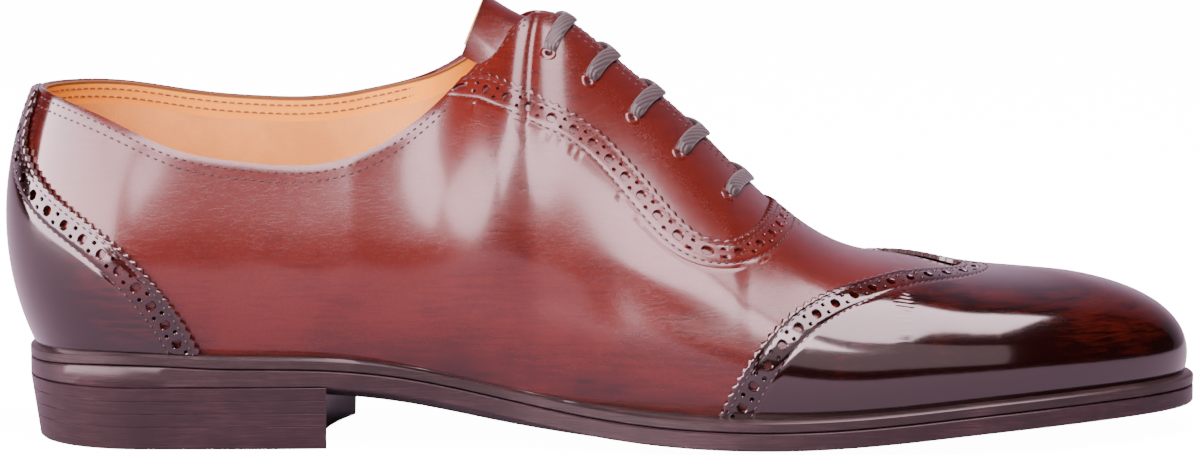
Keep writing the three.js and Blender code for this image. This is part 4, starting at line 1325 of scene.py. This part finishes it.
def lace_bar(row):
    """A bar from hole to hole: a flattened superellipse swept over the skin, which sinks through
    both holes and narrows to fit them."""
    share = np.linspace(0, 1, 19)
    halves = []
    for side in (-1, 1):
        top = eyelets(side)[1][row]
        x = lace_x[row] - LACE_LEAN * (1 - share)
        rise = top + (1 - top) * share
        halves.append([on_side(x, side, rise, offset) for offset in (0.0, 1.0)])
    face = np.concatenate([halves[0][0], halves[1][0][-2::-1]])
    normal = np.concatenate([halves[0][1], halves[1][1][-2::-1]]) - face
    away = np.minimum(np.arange(len(face)), np.arange(len(face))[::-1]) / (len(share) - 1)
    dive = 1 - smooth_step(0.0, 0.16, away)
    middle = face + normal * (0.3 - FACING_STEP + LACE_THICKNESS / 2 - 3.4 * dive**1.5)[:, None]
    tangent = np.gradient(middle, axis=0)
    tangent /= np.linalg.norm(tangent, axis=-1, keepdims=True)
    wide = np.cross(normal, tangent)
    wide /= np.linalg.norm(wide, axis=-1, keepdims=True)
    high = np.cross(tangent, wide)
    turn = np.arange(16) * np.pi / 8
    flat = np.sign(np.cos(turn)) * np.abs(np.cos(turn)) ** 0.6
    thick = np.sign(np.sin(turn)) * np.abs(np.sin(turn)) ** 0.8
    half_width = (LACE_WIDTH / 2 * (1 - 0.42 * dive))[:, None, None]
    ring = middle[:, None] + wide[:, None] * half_width * flat[:, None] + (
        high[:, None] * LACE_THICKNESS / 2 * thick[:, None]
    )
    count = len(turn)
    faces = grid_faces(len(ring), count, closed=True)
    points = np.concatenate([ring.reshape(-1, 3), middle[:1], middle[-1:]])
    first, last = len(points) - 2, len(points) - 1
    i, j = np.arange(count), (np.arange(count) + 1) % count
    low = (len(ring) - 1) * count
    caps = np.concatenate([
        np.stack([i, j, first + 0 * i, first + 0 * i], -1),
        np.stack([j + low, i + low, last + 0 * i, last + 0 * i], -1),
    ])
    return points, np.concatenate([faces, caps])


for row in range(LACE_COUNT):
    bar = add_piece(f"lace_{row + 1}", *lace_bar(row), lace_cotton, "waxed_lace")
    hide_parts(f"lace_bar_{row + 1}")


# Welt
# A waxed strip of leather sewn round the shoe under the upper, black-brown, which stands out along
# the forefoot and shrinks to nothing at the waist.
WELT = 2.6
WELT_FALL = 0.8
WELT_UNDER = 9.0
SOLE_REACH = 5.0

# How far the sole stands out from the feather edge, as shares of SOLE_REACH, and how far its
# underside is rounded below its edge, as a share of the sole's thickness
SOLE = (("at", "outer", "inner", "crown"), (
    (0.00, 0.60, 0.60, 1.10),
    (0.10, 0.48, 0.48, 1.10),
    (0.20, 0.46, 0.40, 1.10),
    (0.27, 0.30, 0.20, 1.12),
    (0.34, 0.04, -0.10, 1.09),
    (0.42, 0.00, -0.14, 0.98),
    (0.49, 0.50, 0.12, 0.78),
    (0.56, 0.96, 0.50, 0.72),
    (0.65, 1.04, 0.74, 0.72),
    (0.80, 0.92, 0.80, 0.82),
    (0.92, 0.84, 0.78, 0.60),
    (1.00, 0.80, 0.80, 0.20),
))
sole = splines(SOLE)


def reach_of(along):
    """How far the sole stands out at a place round the shoe."""
    x, side = x_along(along)
    at = x / LAST_LENGTH
    return SOLE_REACH * np.where(side < 0, sole["outer"](at), sole["inner"](at))


def bottom_ring(along, section):
    """A closed ring round the shoe with a section of (share, out, drop) rows: each point lies out from
    the feather edge by its out plus that share of the sole's reach, and drops below the edge."""
    share, out, drop = np.array(section).T
    place = plan_point(along[:, None] + 0 * out, reach_of(along)[:, None] * share + out)
    height = feather_height(place[..., 0]) - drop
    return np.concatenate([place, height[..., None]], -1)


def edge_leather(name, colour_low, colour_high, roughness):
    """The cut and waxed edge of stacked leather: long level fibres, lighter and darker, under wax."""
    material, tree, shader = new_material(name)
    where = node(tree, "ShaderNodeTexCoord").outputs["Object"]
    level = node(tree, "ShaderNodeMapping", {"Vector": where, "Scale": (110.0, 110.0, 2600.0)})
    fibre = noise(tree, level.outputs[0], 1.0, 5.0, 0.65, 0.4)
    cloud = noise(tree, where, 70.0, 4.0)
    tone = math(tree, "ADD", math(tree, "MULTIPLY", fibre, 0.7), math(tree, "MULTIPLY", cloud, 0.45))
    colour = blend(tree, ramp(tree, tone, 0.5, 0.95), colour_low, colour_high)
    bump = node(tree, "ShaderNodeBump", {"Height": fibre, "Strength": 0.3, "Distance": 0.00012})
    set_inputs(tree, shader, {
        "Base Color": colour, "Roughness": roughness, "Normal": bump.outputs[0],
        "Coat Weight": 0.2, "Coat Roughness": 0.22, "Specular IOR Level": 0.3,
    })
    return material


welt_leather = edge_leather("waxed welt", (0.012, 0.008, 0.008, 1), (0.05, 0.03, 0.03, 1), 0.35)
ring_along = np.linspace(0, 2, 401)[:-1]
CLEAR = 0.3
WELT_SECTION = (
    (0.0, -WELT_UNDER, CLEAR),
    (0.0, -0.4, CLEAR),
    (0.25, 0.0, CLEAR + 0.15),
    (0.6, 0.0, CLEAR + 0.35),
    (1.0, -0.5, CLEAR + WELT_FALL - 0.1),
    (1.0, 0.0, CLEAR + WELT_FALL + 0.35),
    (1.0, 0.0, CLEAR + WELT_FALL + WELT - 0.25),
    (1.0, -0.25, CLEAR + WELT_FALL + WELT),
    (0.0, -WELT_UNDER, CLEAR + WELT_FALL + WELT),
)
welt_grid = bottom_ring(ring_along, WELT_SECTION)
welt = add_piece("welt_strip", *closed_ring(welt_grid), welt_leather, "welt_leather")
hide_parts("welt")


# Outsole
# A leather sole, its edge stained and waxed, rounded underneath from the heel to the toe.
OUTSOLE = 4.6
HEEL_LENGTH = 75.0
BREAST_SKEW = 5.4
BREAST_HOLLOW = 4.5
TOP_PIECE = 6.0
LIFT = 3.4
LIFT_COUNT = 3
HEEL_TAPER = 2.4
HEEL_SEAT = TOP_PIECE + LIFT_COUNT * LIFT
UNDER_WELT = 2 * CLEAR + WELT_FALL + WELT

sole_leather = edge_leather("sole edge", (0.012, 0.006, 0.007, 1), (0.05, 0.026, 0.03, 1), 0.38)


def sole_edge(along, inset):
    """The sole's edge in plan, drawn in by an inset."""
    return plan_point(along, reach_of(along) - inset)


plate_share = np.linspace(0, 1, 121)
plate_rows = []
for inset, low in ((0.3, 0.0), (0.0, 0.3), (0.0, OUTSOLE * 0.5), (0.0, OUTSOLE - 0.5), (0.5, OUTSOLE)):
    rim = [sole_edge(place, inset) for place in (plate_share, 2 - plate_share)]
    plate_rows.append((rim, low))


def plate_height(x, low):
    """Height of the slab at a depth: an even slab, level over the heel from below."""
    top = feather_height(x) - UNDER_WELT
    bottom = np.where(x < HEEL_LENGTH, HEEL_SEAT, top - OUTSOLE)
    return top + (bottom - top) * low / OUTSOLE


loops = []
for (outer_rim, inner_rim), low in plate_rows:
    loop = np.concatenate([outer_rim, inner_rim[-2:0:-1]])
    loops.append(np.c_[loop, plate_height(loop[:, 0], low)])
loops = np.stack(loops)
wall_faces = grid_faces(*loops.shape[:2], closed=True)[:, ::-1]
lids = []
for loop, turned in ((loops[0], False), (loops[-1], True)):
    count = len(plate_share)
    outer_line, inner_line = loop[:count], np.concatenate([loop[:1], loop[:count - 2:-1]])
    share = np.linspace(0, 1, 9)[None, :, None]
    lid = outer_line[:, None] * (1 - share) + inner_line[:, None] * share
    face = grid_faces(*lid.shape[:2])
    lids.append((lid.reshape(-1, 3), face if turned else face[:, ::-1]))
plate_points, plate_faces = join_patterns([(loops.reshape(-1, 3), wall_faces), *lids])
plate_points, plate_faces, _ = merged(plate_points, plate_faces)

under_share = np.linspace(0, 1, 90)
under_rims = []
for side in (-1, 1):
    start = HEEL_LENGTH + (BREAST_SKEW if side > 0 else 0) + CLEAR
    from_along = np.interp(start, *OUTLINES[side][::-1])
    place = from_along + (1 - from_along) * under_share
    under_rims.append(sole_edge(place if side < 0 else 2 - place, OUTSOLE * 0.12))


def crown_height(x, middle):
    """Underside: the sole's edge, less a share of its thickness in a rounded section, never below 0."""
    edge = feather_height(x) - UNDER_WELT - OUTSOLE * 0.9
    return np.maximum(edge - OUTSOLE * sole["crown"](x / LAST_LENGTH) * (1 - middle**2.4), 0)


def bowed(rows):
    """Draws the rows' middles back to follow the heel's hollow breast, fading towards the toe."""
    share = (1 - under_share[:, None]) ** 6
    middle = np.linspace(-1, 1, rows.shape[1])[None]
    rows[..., 0] -= BREAST_HOLLOW * share * (1 - middle**2)
    return rows


crown_low = bowed(across(*under_rims, 33, lambda x, middle: 0 * middle))
crown_low[..., 2] = crown_height(crown_low[..., 0], np.abs(np.linspace(-1, 1, 33)))
crown_top = bowed(across(
    *under_rims, 33, lambda x, middle: feather_height(x) - UNDER_WELT - OUTSOLE / 2 + 0 * middle
))
crown_faces = grid_faces(*crown_low.shape[:2])[:, ::-1]
crown_points, crown_all = solid_between(crown_top.reshape(-1, 3), crown_low.reshape(-1, 3), crown_faces)
crown_points, crown_all, _ = merged(crown_points, crown_all)
outsole = add_piece(
    "leather_sole", *join_patterns([(plate_points, plate_faces), (crown_points, crown_all)]),
    sole_leather, "sole_leather",
)
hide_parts("outsole")


# Heel
# Three leather lifts on a top piece, glued and nailed, their edges stained and waxed as one. The
# stack draws in towards the ground, and its joints show as fine grooves.
heel_leather = edge_leather("heel stack", (0.012, 0.006, 0.007, 1), (0.045, 0.022, 0.026, 1), 0.36)


def heel_outline(height, inset):
    """Outline of the heel at a height, drawn in from the sole's edge, with a hollow askew breast."""
    rims = []
    for side in (-1, 1):
        last = np.interp(HEEL_LENGTH + (BREAST_SKEW if side > 0 else 0), *OUTLINES[side][::-1])
        place = last * np.linspace(0, 1, 44)
        rims.append(sole_edge(place if side < 0 else 2 - place, inset))
    share = np.linspace(0, 1, 21)[1:-1, None]
    breast = rims[0][-1] * (1 - share) + rims[1][-1] * share
    breast[:, 0] -= BREAST_HOLLOW * (1 - (2 * share[:, 0] - 1) ** 2)
    outline = np.concatenate([rims[0], breast, rims[1][:0:-1]])
    return np.c_[outline, np.full(len(outline), height)]


def heel_layer(bottom, top, round_low=0.12, round_top=0.12):
    """One layer: walls between loops whose corners are taken off, and fans to the middle."""
    rows = []
    for height, extra in (
        (bottom, round_low), (bottom + round_low, 0), (top - round_top, 0), (top, round_top)
    ):
        drawn_in = HEEL_TAPER * (HEEL_SEAT - height) / HEEL_SEAT
        rows.append(heel_outline(height, drawn_in + extra))
    loops = np.stack(rows)
    count = loops.shape[1]
    faces = grid_faces(4, count, closed=True)[:, [1, 0, 3, 2]]
    middles = [[ORIGIN_AHEAD_OF_BACK, 0, height] for height in (bottom, top)]
    points = np.concatenate([loops.reshape(-1, 3), middles])
    i, j = np.arange(count), (np.arange(count) + 1) % count
    low, high = len(points) - 2 + 0 * i, len(points) - 1 + 0 * i
    fans = [np.stack([j, i, low, low], -1), np.stack([i + 3 * count, j + 3 * count, high, high], -1)]
    return points, np.concatenate([faces, *fans])


heel_top_piece = add_piece(
    "top_piece", *heel_layer(0, TOP_PIECE, 0.4), heel_leather, "heel_leather", sharp_angle=30
)
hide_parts("heel_top_piece")
for i in range(LIFT_COUNT):
    bottom = TOP_PIECE + i * LIFT
    lift = add_piece(
        f"lift_{i + 1}", *heel_layer(bottom, bottom + LIFT), heel_leather, "heel_leather", sharp_angle=30
    )
    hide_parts(f"heel_lift_{i + 1}")


# Floor, light and camera
# A plain pale floor that bends up to a plain backdrop, soft boxes, and the camera at the
# photograph's angle: 1.5 m away on the outer side, 7.8 degrees up.
def plain_paper():
    """Matt white paper."""
    material, tree, shader = new_material("pale paper")
    seen = node(tree, "ShaderNodeLightPath").outputs["Is Camera Ray"]
    set_inputs(tree, shader, {
        "Base Color": blend(tree, seen, (0.3, 0.27, 0.33, 1), (0.9, 0.9, 0.9, 1)), "Roughness": 0.9,
        "Emission Color": (1, 1, 1, 1), "Emission Strength": math(tree, "MULTIPLY", seen, 14.0),
    })
    return material


floor_y = np.r_[np.linspace(-6, 1.2, 10), 1.2 + 0.8 * np.sin(np.linspace(0.1, 1, 12) * np.pi / 2), 2.0]
floor_z = np.r_[np.zeros(10), 0.8 * (1 - np.cos(np.linspace(0.1, 1, 12) * np.pi / 2)), 4.0]
floor_x = np.array([-4.0, 4.0])
floor_points = np.stack([
    np.broadcast_to(floor_x[:, None], (2, len(floor_y))),
    np.broadcast_to(floor_y, (2, len(floor_y))), np.broadcast_to(floor_z, (2, len(floor_z))),
], -1).reshape(-1, 3)
floor_mesh = bpy.data.meshes.new("floor")
floor_mesh.from_pydata(floor_points.tolist(), [], grid_faces(2, len(floor_y))[:, ::-1].tolist())
floor_mesh.polygons.foreach_set("use_smooth", np.full(len(floor_mesh.polygons), True))
floor_mesh.materials.append(plain_paper())
floor = bpy.data.objects.new("floor", floor_mesh)
bpy.context.scene.collection.objects.link(floor)

world = bpy.data.worlds.new("studio")
bpy.context.scene.world = world
world.use_nodes = True
background = world.node_tree.nodes["Background"]
seen = node(world.node_tree, "ShaderNodeLightPath").outputs["Is Camera Ray"]
shown = node(world.node_tree, "ShaderNodeMapRange", {"Value": seen, "To Min": 0.02, "To Max": 1.0})
set_inputs(world.node_tree, background, {"Color": (1, 1, 1, 1), "Strength": shown.outputs["Result"]})


def soft_box(name, place, aim, size, radiance, colour=(1, 1, 1), roll=0):
    """A rectangular light of even radiance at a place in m, turned to a point, then rolled."""
    light = bpy.data.lights.new(name, "AREA")
    light.shape, light.color = "RECTANGLE", colour
    light.size, light.size_y = size
    light.energy = radiance * np.pi * size[0] * size[1]
    box = bpy.data.objects.new(name, light)
    box.location = place
    direction = mathutils.Vector(aim) - mathutils.Vector(place)
    turn = direction.to_track_quat("-Z", "Y") @ mathutils.Quaternion((0, 0, 1), np.radians(roll))
    box.rotation_euler = turn.to_euler()
    bpy.context.scene.collection.objects.link(box)


ROSE = (1.0, 0.72, 0.8)
soft_box("overhead", (0.53, -0.42, 1.6), (0.53, -0.42, 0), (0.92, 1.75), 14, ROSE)
soft_box("high front", (0.1, -1.5, 1.1), (0.1, 0, 0.06), (1.3, 0.62), 19, ROSE, 30)
soft_box("left", (-1.6, -0.85, 0.62), (0.0, 0, 0.1), (3.2, 1.2), 17, ROSE)
soft_box("front", (0.3, -2.1, 1.3), (0.15, 0, 0.5), (3.2, 1.7), 1.3, ROSE)
soft_box("back", (0.1, 2.2, 0.35), (0.1, 0, 0.3), (3.4, 0.45), 12)

lens = bpy.data.cameras.new("camera")
lens.lens, lens.sensor_width = 173.43, 36.0
camera = bpy.data.objects.new("camera", lens)
camera.location = (0.1079, -1.4861, 0.2569)
camera.rotation_euler = (np.radians(82.2), 0, 0)
bpy.context.scene.collection.objects.link(camera)
bpy.context.scene.camera = camera
